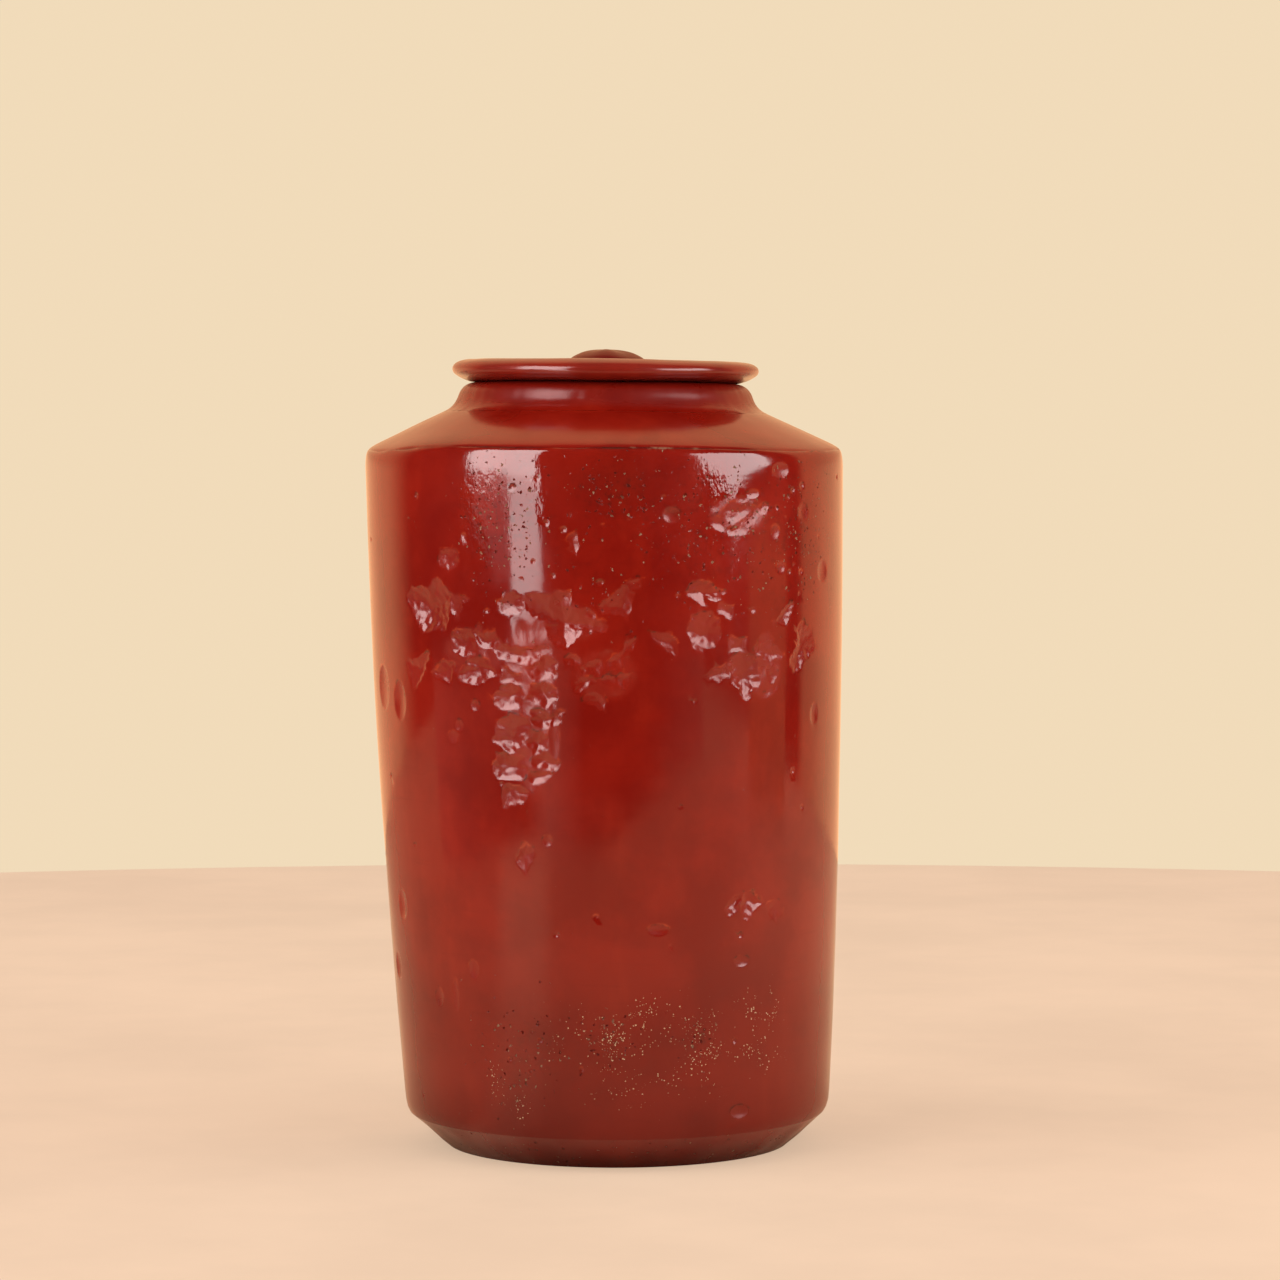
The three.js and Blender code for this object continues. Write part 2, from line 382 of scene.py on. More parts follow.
def placed(body, angle, radius, height):
    """Points in the frame.

    The jar leans and bows below its uneven shoulder, and its mouth and lid tip to the right.
    """
    shape = bpy.context.scene.canister_shape
    if body == "lid":
        tipped = 1.0
        middle = eased(radius, KNOB_SHIFT_RADIUS, TENON_RADIUS + SLIP)
        lifted = -shape.sag * np.cos(2 * angle) * eased(radius, LID_REST_RADIUS, LID_RADIUS)
    else:
        tipped = eased(height, SHOULDER_Z, NECK_WAIST_Z)
        middle = 0.0
        lifted = MM * along_edge(EDGE_WAVES, angle) * bell(height - SHOULDER_Z, EDGE_WAVE_REACH)
        pressed = np.clip((height - TUCK_FOOT_Z) / (SHOULDER_Z - TUCK_FOOT_Z), 0, 1) ** 2
        in_front = eased(np.cos(angle), 0.1, 0.6)
        radius = radius - shape.tuck * pressed * (1 - eased(height, SHOULDER_Z, TUCK_TOP_Z)) * in_front
    lean = LEAN * np.clip(1 - height / SHOULDER_Z, 0, 1)
    bow = shape.bow * np.sin(np.pi * np.clip((height - BOW_FOOT_Z) / (SHOULDER_Z - BOW_FOOT_Z), 0, 1))
    x = radius * np.sin(angle) + lean - bow + shape.mouth_aside * tipped + shape.knob_aside * middle
    y = -radius * np.cos(angle)
    z = height + lifted - math.tan(shape.tip) * x * tipped
    return np.stack(np.broadcast_arrays(x, y, z), -1)


def chance_waves(wavelength, seed):
    """Heading, number per metre and start of each of the waves that make a ripple."""
    random = np.random.default_rng(seed)
    for _ in range(RIPPLE_WAVES):
        heading = random.uniform(0, 2 * np.pi)
        number = 2 * np.pi / wavelength * random.uniform(0.7, 1.3)
        yield heading, number, random.uniform(0, 2 * np.pi)


def ripple(angle, height, wavelength, seed):
    """Smooth waves all over the outside, with a height of about 1 and no seam behind."""
    total = np.zeros(np.broadcast_shapes(angle.shape, height.shape))
    for heading, number, start in chance_waves(wavelength, seed):
        turns = round(BODY_RADIUS * number * math.cos(heading))
        total += np.cos(turns * angle + number * math.sin(heading) * height + start)
    return total / math.sqrt(RIPPLE_WAVES / 2)


def flat_ripple(angle, radius, wavelength, seed):
    """Smooth waves over a flat round piece, with a height of about 1."""
    total = np.zeros(np.broadcast_shapes(angle.shape, radius.shape))
    for heading, number, start in chance_waves(wavelength, seed):
        total += np.cos(number * radius * np.cos(angle - heading) + start)
    return total / math.sqrt(RIPPLE_WAVES / 2)


def slow_wobble(angle, height):
    """The potter's hand: long waves, and the faint ones that bend a reflection's edge."""
    size = bpy.context.scene.canister_shape.wobble
    faint = 0.07 * size * ripple(angle, height, 28 * MM, seed=2)
    return size * ripple(angle, height, 160 * MM, seed=1) + faint


def seam_groove(angle, distance):
    """Depth of the joint line, uneven along its way, at some distance from it along the profile."""
    depth = bpy.context.scene.canister_shape.seam_depth
    uneven = np.clip(0.6 + 0.35 * ripple(angle, np.zeros_like(angle), 18 * MM, seed=32), 0.1, 1.4)
    return depth * uneven * bell(distance, GROOVE_WIDTH)


def seam_tone(angle):
    """Colour of the joint line: 1 for pale clay, -1 for near black, and dark red between; the dark tones are
    painted shade in its groove.
    """
    return along_edge(PALE_SEAM, angle) - along_edge(DARKEST_SEAM, angle)


def seam_strength(angle):
    """How much the joint line shows, between 0 and 1."""
    return np.clip(1 - along_edge(FAINT_SEAM, angle) - 0.8 * along_edge(ORANGE_SEAM, angle), 0, 1)


# Wear: angles are in degrees to the right of the front, lengths in millimetres

class Flake(NamedTuple):
    """A chip that has come off the wall.

    It has its deepest point, its depth there, and its corners as (right, up) from that point, clockwise.
    Each side of the outline slopes in to the deepest point as one facet.
    """

    angle: float
    height: float
    depth: float
    corners: list


class Dent(NamedTuple):
    """A smooth round hollow: middle, size and depth."""

    angle: float
    height: float
    wide: float
    tall: float
    depth: float


class Patch(NamedTuple):
    """A soft-edged area of bruises, scratches, pits, dust or grime: middle, half size and strength."""

    angle: float
    height: float
    wide: float
    tall: float
    strength: float


LEFT_FLAKES = [
    # upper left lobe
    Flake(-46, 189, 2.7, [
        (-12, 5), (-9.5, 9), (0, 9), (5.5, 11.5), (12.5, 6), (10, 0), (9, -6), (-3.5, -7), (-10, 1)]),
    Flake(-37.5, 190.5, 0.6, [(-2, 5.5), (6.5, 3), (0.5, -2), (-2, -0.5)]),
    Flake(-39.5, 208, 0.7, [(-5, -2), (-2.5, 2.5), (2.5, 4), (6, 1), (4.5, -3.5), (1, -5.5), (-2.5, -4)]),
    # left arm
    Flake(-35, 180, 1.2, [(-6, 0), (-3, 3), (3, 4), (5.5, -1), (6, -6), (3, -6), (-1, -5.5), (-5, -3.5)]),
    Flake(-29, 179, 1.0, [(-5.5, 4), (-2.5, 7), (-0.5, 5), (4.5, 4), (5, 1), (2.5, -2), (-3, -1.5)]),
    Flake(-31, 171, 1.2, [(-10, -4), (-4.5, 3), (2, 4.5), (9, -2.5), (3.5, -4), (-0.5, -6), (-7, -6)]),
    Flake(-40, 170, 0.9, [(-9, -1.5), (-2.5, 3), (3.5, 1), (0.5, -5), (-3, -4)]),
    Flake(-49.5, 170, 0.9, [(-9.5, 1), (-0.5, 4), (5, 6), (5, 4), (-0.5, -4), (-4, -8), (-8, -4)]),
    # upper middle
    Flake(-22, 192, 0.7, [(-6, 1), (-2, 4.5), (4.5, 4), (5.5, -0.5), (2.5, -3.5), (-3, -3.5)]),
    Flake(-10, 185, 2.1, [
        (-14.5, 8), (-12.5, 11), (2.5, 12), (4.5, 7.5), (12.5, 4), (16, 1.5), (15.5, -2), (8, -2), (2, -7),
        (-3, -4.5), (-6.5, 1.5)]),
    Flake(3.5, 191.5, 1.2, [(-8, 0), (-3.5, 4), (5, 8), (6, 4), (3, -3.5), (-5, -3)]),
    Flake(7.5, 199.5, 0.4, [(-4.5, 0), (-2, 2), (3.5, 2), (1.5, -2), (-1, -2.5)]),
    # shallow right arm
    Flake(-7.5, 173.5, 0.6, [(-4, 1), (-1, 3), (3.5, 1.5), (3, -2), (0, -3), (-3, -2)]),
    Flake(-2.5, 171.5, 0.7, [(-3.5, 0), (-1.5, 2), (3, 2.5), (4, 0), (1.5, -3), (-2, -2.5)]),
    Flake(2.5, 173, 0.7, [(-4, -0.5), (-1, 3), (3, 4), (4, 0.5), (1, -3), (-2.5, -3)]),
    Flake(5.5, 178, 0.6, [(-2.5, -1), (0, 4), (2.5, 4.5), (2.5, -1), (0.5, -4), (-2, -4)]),
    Flake(-5, 166.5, 0.6, [(-4.5, -0.5), (-2, 2.5), (3, 2), (4, -0.5), (1, -3), (-3, -3)]),
    Flake(0.5, 167, 0.6, [(-3.5, 0.5), (0, 2.5), (4, 1.5), (3.5, -2), (0, -3), (-2.5, -2)]),
    Flake(4.5, 168, 0.7, [(-3, 0), (-0.5, 3), (3, 2), (3, -2.5), (0.5, -5), (-2, -3.5)]),
    Flake(-2, 160.5, 0.6, [(-5, -1), (-2, 3), (2, 3), (4, 0), (3, -5), (-0.5, -3)]),
    # middle
    Flake(-21, 175, 1.1, [
        (-11, 2), (-7, 6), (-1.5, 3.5), (6.5, 2), (10, 4.5), (13, 2), (11.5, -1), (3.5, -4), (-4.5, -2)]),
    Flake(-22, 168, 0.7, [(-6, -1), (-4, 3.5), (0.5, 2), (5, 1.5), (5.5, -2.5), (1, -4), (-3.5, -3)]),
    Flake(-15, 171, 1.2, [(-5.5, 0), (-4, 3), (3, 4), (6, 2), (6, -3), (2, -5), (-3.5, -5)]),
    Flake(-15, 163, 1.2, [(-6, -2.5), (-5, 2), (2, 3), (6, 1), (5, -2.5), (2, -5), (-2.5, -5.5)]),
    Flake(-23, 161, 1.2, [(-6.5, -2), (-4, 3), (0.5, 5.5), (5, 3), (5, -4.5), (0.5, -4), (-4, -4)]),
    Flake(-15, 154, 1.0, [(-5, 0), (-4, 3), (2, 3), (5, 1), (2.5, -3.5), (0, -4), (-3.5, -3)]),
    Flake(-12, 154, 0.6, [(-2, -1.5), (-0.5, 3), (3.5, 3), (2, -2), (-1.5, -4.5)]),
    # lower lobe and its trail
    Flake(-23, 147, 1.2, [
        (-7.5, -0.5), (-5, 6), (0, 9), (6, 8), (7.5, 3.5), (4.5, -2), (0.5, -5), (-3, -4)]),
    Flake(-17, 146, 1.0, [(-4, 0), (-2, 4), (2.5, 4), (5, 0), (3, -5), (-0.5, -5)]),
    Flake(-24, 138, 1.3, [(-7, 0.5), (-5, 4), (1.5, 4), (6.5, 2), (7.5, -2), (5, -4), (0, -5), (-5, -5)]),
    Flake(-15, 139.5, 0.9, [(-5, 0), (-3, 3), (2, 3.5), (5.5, 0), (3.5, -3), (0, -4)]),
    Flake(-17, 134.5, 0.9, [(-5.5, -1), (-3.5, 2), (3, 2.5), (6, 1), (3.5, -2), (-2, -3.5)]),
    Flake(-23, 129, 0.8, [(-6, -4), (-4, 2), (3.5, 3), (6.5, -0.5), (1.5, -4), (-3, -5.5)]),
    Flake(-21, 107, 0.6, [(-3.5, -1.5), (-2, 3), (0.5, 6), (3.5, 3.5), (4, -1), (0.5, -6)]),
    # alone, above
    Flake(-7, 212, 0.6, [(-3, -1), (-1, 3), (2, 5), (3, 1), (1, -4), (-2, -3)]),
]
RIGHT_FLAKES = [
    Flake(24, 196, 0.9, [(-7.5, 0), (-4, 4), (-0.5, 4), (8, 1), (6, -3), (1.5, -2), (0, -6)]),
    Flake(24, 182, 1.2, [(-7, 2), (-4, 6.5), (2, 8.5), (5, 5), (6.5, 0), (4.5, -5), (0.5, -5), (-4.5, -5)]),
    Flake(29.5, 190, 0.4, [(-4, 0), (-1, 2), (3.5, 1.5), (2, -3), (-0.5, -2)]),
    Flake(15, 178, 0.6, [(-7.5, 5), (1, 5.5), (4.5, 1), (2.5, -4), (-2.5, -1)]),
    Flake(35, 167, 1.3, [
        (-8, 2.5), (-6, 7), (-2, 9.5), (4, 7), (7, 2), (5.5, -3), (3, -3), (3, -7), (-1.5, -7.5), (-3, -3.5),
        (-6, -2)]),
    Flake(28, 168, 0.35, [(-6, -1), (-2, 3), (3, 5), (4, -1.5), (0, -3)]),
    Flake(33, 177, 0.5, [(-5.5, -1), (-3.5, 4.5), (4, 4), (4, -2.5), (-0.5, -1)]),
    Flake(41.5, 175, 0.7, [(-6, 1), (-3.5, 6), (0.5, 6.5), (9.5, -0.5), (3, -5), (-3.5, -1)]),
    Flake(43, 167.5, 0.6, [(-4, 0.5), (-0.5, 4), (4, 1), (2, -4), (-2, -3.5)]),
    Flake(47.5, 187, 0.8, [(-6, -1), (-1, 2.5), (4.5, 6), (4, 1), (1, -3)]),
    Flake(54, 176, 1.0, [(-3, 2), (-2, 8), (1, 10.5), (6.5, 6.5), (10, 0.5), (0, -5.5), (-5, -9), (-7, -6)]),
    # pitted patch under the right end of the shoulder
    Flake(33, 222.5, 0.5, [(-8, 0), (-4, 4), (3.5, 4), (7.5, 2.5), (6.5, -0.5), (1, -3), (-5.5, -3)]),
    Flake(40, 224, 0.4, [(-2.5, -1.5), (-2, 1), (3.5, 1.5), (1.5, -3)]),
    Flake(32, 217.5, 0.4, [(-3.5, -1), (-0.5, 1), (3.5, 0), (0.5, -2.5)]),
    # low down
    Flake(32, 91, 0.8, [(-4.5, -2.5), (-2, 2), (1.5, 3), (1.5, -2), (-0.5, -4), (-3, -4)]),
    Flake(36, 91, 1.0, [(-4, 0.5), (-2.5, 4), (3.5, 3), (6.5, 0), (2.5, -3.5), (0.5, -6), (-3, -5.5)]),
    Flake(44, 87.5, 0.5, [(-4.5, 2), (-0.5, 4.5), (3, 4), (5.5, -1.5), (2, -3), (2, -6)]),
]
DENTS = [
    Dent(46, 237, 9, 6.3, 0.6),
    Dent(16, 222, 6.8, 5.8, 0.6),
    Dent(37, 229, 5.5, 2.7, 0.3),
    Dent(44, 216, 4.8, 5, 0.35),
    Dent(46, 204, 5, 4.3, 0.35),
    Dent(54.5, 222.5, 6.5, 6, 0.35),
    Dent(64, 202, 8, 8, 0.6),
    Dent(60, 153, 6, 8, 0.5),
    Dent(-37.5, 206, 5, 4, 0.5),
    Dent(-60, 158, 9, 14, 0.8),
    Dent(-70, 162, 12, 16, 0.9),
    Dent(-32.5, 158, 4.2, 4.2, 0.35),
    Dent(-37.5, 151, 4, 4.5, 0.3),
    Dent(-39.5, 147, 5.5, 5, 0.25),
    Dent(-12.5, 147, 4.5, 16, 0.25),
    Dent(-15, 113, 4, 4, 0.3),
    Dent(11.5, 83, 8, 4, 0.5),
    Dent(34, 71, 7, 4.5, 0.4),
    Dent(34, 19.5, 9, 5, 0.5),
    Dent(-66, 87, 8, 11, 0.6),
    Dent(-74, 64.5, 9, 10, 0.7),
    Dent(-50, 57, 5, 7, 0.35),
    Dent(-37, 68, 5, 7, 0.4),
    Dent(-43.5, 58, 3, 12, 0.3),
]
BRUISED = [
    Patch(-18, 160, 9.5, 32, 1.0),
    Patch(-33, 175, 13, 9, 1.0),
    Patch(-10, 186, 16, 8, 0.9),
    Patch(0, 169, 12, 9, 1.0),
    Patch(41, 168, 8, 9, 1.0),
    Patch(33, 222, 13, 7, 0.9),
]
SCRATCHED = [
    Patch(-30, 223, 9, 15, 1.0),
    Patch(-15, 228, 3, 10, 0.8),
    Patch(26, 232, 8, 9, 1.0),
    Patch(34, 221, 13, 8, 0.8),
    Patch(28, 210, 22, 12, 0.35),
    Patch(140, 222, 30, 14, 0.7),
]
PITTED = [
    Patch(-24, 222, 14, 20, 1.0),
    Patch(3, 229, 13, 9, 1.0),
    Patch(25, 220, 25, 22, 0.7),
    Patch(48, 215, 22, 25, 0.7),
    Patch(34, 223, 14, 8, 1.0),
    Patch(-5, 205, 30, 20, 0.2),
    Patch(-24, 38, 21, 18, 0.5),
    Patch(-2, 45, 9, 6, 0.9),
    Patch(22, 46, 8, 6, 0.8),
    Patch(130, 225, 30, 18, 0.8),
    Patch(190, 212, 35, 22, 0.6),
    Patch(-115, 228, 30, 15, 0.8),
]
DUSTY = [
    Patch(-4, 47, 14, 7, 1.0),
    Patch(8, 52, 12, 8, 0.9),
    Patch(22, 44, 16, 9, 0.8),
    Patch(40, 46, 12, 12, 0.7),
    Patch(-32, 27, 4, 8, 0.7),
    Patch(-24, 22, 4, 5, 0.6),
    Patch(12, 42, 38, 16, 0.35),
    Patch(150, 45, 45, 12, 0.8),
    Patch(-130, 40, 40, 12, 0.7),
]
GRIMY = [
    Patch(3, 233, 20, 8, 0.3),
    Patch(170, 230, 40, 9, 0.3),
]
# The back: clusters as (angle, height), how many flakes each has and how far they stray, and single flakes
BACK_CLUSTERS = [(118, 172), (168, 132), (205, 196), (250, 158)]
CLUSTER_SIZE = 10
CLUSTER_FLAKES = (4, 10)
CLUSTER_WIDE = 8
CLUSTER_TALL = 11
BACK_SINGLES = 10
SINGLE_FLAKES = (1.5, 4)
SINGLE_HEIGHTS = (25, 230)
SEEN_HALF = 85  # degrees to each side of the front that the lists above cover
CHANCE_CORNERS = 7
FACET_CURVE = 1.25  # 1 would make the facets flat, and more makes them rounder
RIM_WIDTH = 0.3 * MM
PIT_LOWEST = 20
PIT_BELOW_SHOULDER = 4
PIT_LARGEST = 2.2
STRAY_PITS = 0.04  # chance of a pit outside the pitted patches


def chance_flake(random, angle, height, smallest, largest):
    """A flake of uneven corners."""
    uneven = random.uniform(-0.3, 0.3, CHANCE_CORNERS)
    turns = -2 * np.pi / CHANCE_CORNERS * (np.arange(CHANCE_CORNERS) + uneven)
    reaches = random.uniform(smallest, largest, CHANCE_CORNERS)
    corners = [(reach * math.cos(turn), reach * math.sin(turn)) for turn, reach in zip(turns, reaches)]
    return Flake(angle, height, 0.15 * largest, corners)


def back_flakes(random):
    """Flakes for the side that the lists don't cover, in loose clusters like those in front, and alone."""
    for angle, height in BACK_CLUSTERS:
        for _ in range(CLUSTER_SIZE):
            largest = random.uniform(*CLUSTER_FLAKES)
            right, up = random.normal(0, CLUSTER_WIDE), random.normal(0, CLUSTER_TALL)
            yield chance_flake(random, angle + right, height + up, 0.4 * largest, largest)
    for _ in range(BACK_SINGLES):
        angle = random.uniform(SEEN_HALF, 360 - SEEN_HALF)
        yield chance_flake(random, angle, random.uniform(*SINGLE_HEIGHTS), *SINGLE_FLAKES)


class Relief(NamedTuple):
    """What the wear does to the wall, at every lattice point."""

    depth: np.ndarray
    scar: np.ndarray
    rim: np.ndarray


def around(mark, size, angles, heights):
    """The lattice window near a mark on the wall, and how far right of it and above it the points lie."""
    across = wrapped(angles - math.radians(mark.angle)) * BODY_RADIUS
    above = heights - mark.height * MM
    columns = np.flatnonzero(np.abs(across) < size)
    rows = np.flatnonzero(np.abs(above) < size)
    right, up = np.meshgrid(across[columns], above[rows])
    return np.ix_(rows, columns), right, up


def cross(first, second):
    """The cross product of two flat vectors."""
    return first[0] * second[1] - first[1] * second[0]


def sink(relief, window, depth, edge):
    """Sinks a hollow where it goes deeper than what is there, and marks its scar and worn edge."""
    share = bpy.context.scene.canister_wear.flake_depth
    opened = eased(depth, 0.0, 0.1 * MM)
    hidden = eased(relief.depth[window], 0.15 * MM, 0.4 * MM)
    relief.rim[window] = np.maximum(relief.rim[window] * (1 - opened), edge * (1 - hidden))
    relief.depth[window] = np.maximum(relief.depth[window], share * depth)
    relief.scar[window] = np.maximum(relief.scar[window], opened)


def break_off(relief, flake, angles, heights, ragged):
    """Breaks one flake out of the wall. ragged is how far its outline is bent to the right and up."""
    size = max(math.hypot(*corner) for corner in flake.corners) * MM + 1.5 * MM
    window, right, up = around(flake, size, angles, heights)
    point = right + ragged[0][window], up + ragged[1][window]
    depth, edge = np.zeros(right.shape), np.zeros(right.shape)
    corners = [np.array(corner) * MM for corner in flake.corners]
    for start, end in zip(corners, corners[1:] + corners[:1]):
        side = end - start
        facet = (cross(start, point) <= 0) & (cross(point, end) < 0)
        reach = cross(point, side) / cross(start, side)
        gap = (reach - 1) * cross(start, side) / np.linalg.norm(side)
        faces_up = eased(side[0] / np.linalg.norm(side), 0.1, 0.6)
        depth[facet] = flake.depth * MM * np.maximum(1 - np.maximum(reach[facet], 0) ** FACET_CURVE, 0)
        edge[facet] = faces_up * bell(gap[facet], RIM_WIDTH)
    sink(relief, window, depth, edge)


def press_in(relief, dent, angles, heights):
    """Presses one round dent into the wall."""
    wide, tall = dent.wide / 2 * MM, dent.tall / 2 * MM
    window, right, up = around(dent, max(wide, tall) + 1 * MM, angles, heights)
    reach = np.hypot(right / wide, up / tall)
    edge = bell((reach - 1) * min(wide, tall), RIM_WIDTH) * eased(up / tall, -0.2, 0.6)
    sink(relief, window, dent.depth * MM * np.maximum(1 - reach ** 2, 0), edge)


def spread(patches, angles, heights):
    """Strength of soft-edged patches, at every lattice point."""
    total = np.zeros((len(heights), len(angles)))
    for patch in patches:
        across = wrapped(angles - math.radians(patch.angle)) * BODY_RADIUS / (patch.wide * MM)
        up = (heights - patch.height * MM) / (patch.tall * MM)
        total = np.maximum(total, patch.strength * np.exp(-(across[None, :] ** 2 + up[:, None] ** 2)))
    return total


def scatter_pits(relief, pitted, random, angles, heights):
    """Presses in burst bubbles by chance, most of them where the wall is pitted."""
    wear = bpy.context.scene.canister_wear
    made = 0
    while made < wear.pits:
        angle = random.uniform(-180, 180)
        height = random.uniform(PIT_LOWEST, SHOULDER_Z / MM - PIT_BELOW_SHOULDER)
        row = np.argmin(np.abs(heights - height * MM))
        column = np.argmin(np.abs(wrapped(angles - math.radians(angle))))
        if random.uniform(0, 1) > STRAY_PITS + pitted[row, column]:
            continue
        size = random.uniform(1.0, PIT_LARGEST)
        depth = wear.pit_depth / MM * size / PIT_LARGEST
        press_in(relief, Dent(angle, height, size * random.uniform(0.9, 1.4), size, depth), angles, heights)
        made += 1


def wall_wear(angles, heights):
    """All of the wall's wear, and how pitted it is: bruises, flakes in front and behind, dents and pits."""
    random = np.random.default_rng(bpy.context.scene.canister_wear.seed)
    shape = (len(heights), len(angles))
    relief = Relief(np.zeros(shape), np.zeros(shape), np.zeros(shape))
    grid = angles, heights[:, None]
    ragged = [
        0.4 * MM * ripple(*grid, 9 * MM, seed) + 0.22 * MM * ripple(*grid, 3.2 * MM, seed + 2)
        for seed in (11, 12)
    ]
    bruised = eased(spread(BRUISED, angles, heights), 0.3, 0.55)
    relief.depth[:] = bruised * np.maximum(0.12 + 0.08 * ripple(*grid, 8 * MM, seed=16), 0) * MM
    relief.scar[:] = bruised
    for flake in [*LEFT_FLAKES, *RIGHT_FLAKES, *back_flakes(random)]:
        break_off(relief, flake, angles, heights, ragged)
    grain = 0.016 * MM * ripple(*grid, 6 * MM, seed=21) + 0.006 * MM * ripple(*grid, 2.8 * MM, seed=22)
    relief.depth[:] += relief.scar * grain
    for dent in DENTS:
        press_in(relief, dent, angles, heights)
    pitted = spread(PITTED, angles, heights)
    scatter_pits(relief, pitted, random, angles, heights)
    return relief, pitted


# Relief of each piece: how far it stands out, its named values, and which points need the fine mesh

def base_relief(angles, lattice):
    """The bevel's wobble, dying out at the table and where the wall starts."""
    heights = lattice.heights
    free = eased(heights, 0.0, 4 * MM) * (1 - eased(heights, BEVEL_Z - 4 * MM, BEVEL_Z))
    out = slow_wobble(angles, heights) + 0.15 * MM * ripple(angles, heights, 22 * MM, seed=41)
    # The bevel is darker towards the table.
    return out * free, {"shade_and_grime": 1 - 0.55 * eased(heights, 0.0, BEVEL_Z), "pitted": 0.15}, False


def wall_relief(angles, lattice):
    """The wall's wobble, wear and joint line."""
    heights = lattice.points[:, 1]
    worn, pitted = wall_wear(angles, np.where(lattice.skin, heights, -1.0))
    top = np.flatnonzero(lattice.skin)[-1]
    below_seam = lattice.travel[top] - lattice.travel[:, None]
    above_foot = eased(lattice.travel[:, None], 0.0, 4 * MM)
    seam = bell(below_seam, SEAM_WIDTH_BELOW)
    out = above_foot * slow_wobble(angles, lattice.heights) - worn.depth - seam_groove(angles, below_seam)
    low_down = 1 - eased(lattice.heights, 45 * MM, 85 * MM)
    at_foot = 1 - eased(lattice.heights, BEVEL_Z, 34 * MM)
    values = {
        "scar": worn.scar,
        # The flakes' worn edges, and painted glints along stretches of the joint line.
        "rim": np.maximum(worn.rim, seam * along_edge(ORANGE_SEAM, angles)),
        "pitted": pitted,
        "scratched": spread(SCRATCHED, angles, heights),
        "dusty": spread(DUSTY, angles, heights),
        "seam": seam * seam_strength(angles),
        "seam_tone": seam_tone(angles),
        # Darker towards the foot, and in the grimy patches.
        "shade_and_grime": 0.38 * low_down + 0.22 * at_foot + spread(GRIMY, angles, heights),
    }
    busy = (worn.depth > 0.01 * MM) | (worn.rim > 0.1)
    return out, values, busy & lattice.skin[:, None]


def shoulder_relief(angles, lattice):
    """The slope's wobble, with the joint line at its lower edge."""
    distance = lattice.travel[:, None]
    out = slow_wobble(angles, lattice.heights) + 0.008 * MM * ripple(angles, distance, 14 * MM, seed=42)
    seam = bell(distance, SEAM_WIDTH_ABOVE) * seam_strength(angles)
    values = {"seam": seam, "seam_tone": seam_tone(angles), "dull": 0.15}
    return out - seam_groove(angles, distance), values, False


def neck_relief(angles, lattice):
    """The neck's wobble, dying out at the lip, where the lid sits."""
    settled = 1 - eased(lattice.heights, LIP_Z - 2 * MM, LIP_Z)
    out = slow_wobble(angles, lattice.heights)
    out = out + 0.035 * MM * ripple(angles, lattice.travel[:, None], 9 * MM, seed=44)
    # Higher up, under the lid, the neck gets a duller gloss and painted shade.
    higher = eased(lattice.heights, NECK_SEAM_Z, NECK_SEAM_Z + 4 * MM)
    return out * settled, {"dull": 0.15 + 0.5 * higher, "shade_and_grime": 0.15 * higher}, False


def lid_relief(angles, lattice):
    """The lid's waves, dying out where it rests on the lip and where the knob stands."""
    free = np.where(
        lattice.heights < LIP_Z + 4 * MM,
        eased(lattice.radii, LID_REST_RADIUS, LID_REST_RADIUS + 3 * MM),
        eased(lattice.radii, KNOB_RADIUS, KNOB_RADIUS + 6 * MM))
    waves = 0.05 * MM * flat_ripple(angles, lattice.radii, 22 * MM, seed=43)
    # Painted shade darkens the underside of the rim, where it overhangs the neck.
    under = 1 - eased(lattice.heights, LIP_Z + 0.3 * MM, LIP_Z + 1.3 * MM)
    # A faint film of dust covers the lid, and a painted sheen lightens the top of its rim.
    on_top = eased(lattice.heights, LID_TOP_Z - 1.6 * MM, LID_TOP_Z)
    values = {"dull": 0.3, "shade_and_grime": 0.7 * under, "dust_and_sheen": 0.02 + 0.12 * on_top}
    return free * (slow_wobble(angles, lattice.heights) + waves), values, False


def flange_relief(angles, lattice):
    """Only the slow wobble."""
    return slow_wobble(angles, lattice.heights), {}, False


def knob_relief(angles, lattice):
    """Finger marks of the pinched knob, dying out at its foot and at the middle of its top."""
    held = eased(lattice.heights, DISH_Z, DISH_Z + 2 * MM) * eased(lattice.radii, 0.0, 8 * MM)
    pinched = 0.15 * MM * np.cos(3 * angles + 0.8) + 0.1 * MM * np.cos(5 * angles)
    # The knob is darkened all over and its gloss dimmed.
    return held * (slow_wobble(angles, lattice.heights) + pinched), {"dull": 0.6, "shade_and_grime": 0.5}, False


# Meshes

SHARP_ANGLE = math.radians(38)
ON_AXIS = 1e-9
SQUARE = [(0, 0), (0, 1), (1, 1), (1, 0)]


def woven(fine, split):
    """Faces of a lattice, as corners (row, column), and the lattice points that they use.

    A fine cell is cut into split by split faces. A coarse cell beside one takes in the points on their
    shared edge, so the surface has no cracks.
    """
    rows, columns = fine.shape
    across = columns * split
    used = np.zeros((rows * split + 1, across), bool)
    used[::split, ::split] = True
    for row, column in np.argwhere(fine):
        reach = np.arange(column * split, (column + 1) * split + 1) % across
        used[row * split:(row + 1) * split + 1, reach] = True
    faces = []
    steps = range(split)
    for row, column in np.ndindex(rows, columns):
        low, left = row * split, column * split
        if fine[row, column]:
            for i, j in np.ndindex(split, split):
                faces.append([(low + i + up, left + j + right) for up, right in SQUARE])
            continue
        border = [(low, left + step) for step in steps]
        border += [(low + step, left + split) for step in steps]
        border += [(low + split, left + split - step) for step in steps]
        border += [(low + split - step, left) for step in steps]
        faces.append([corner for corner in border if used[corner[0], corner[1] % across]])
    return faces, used


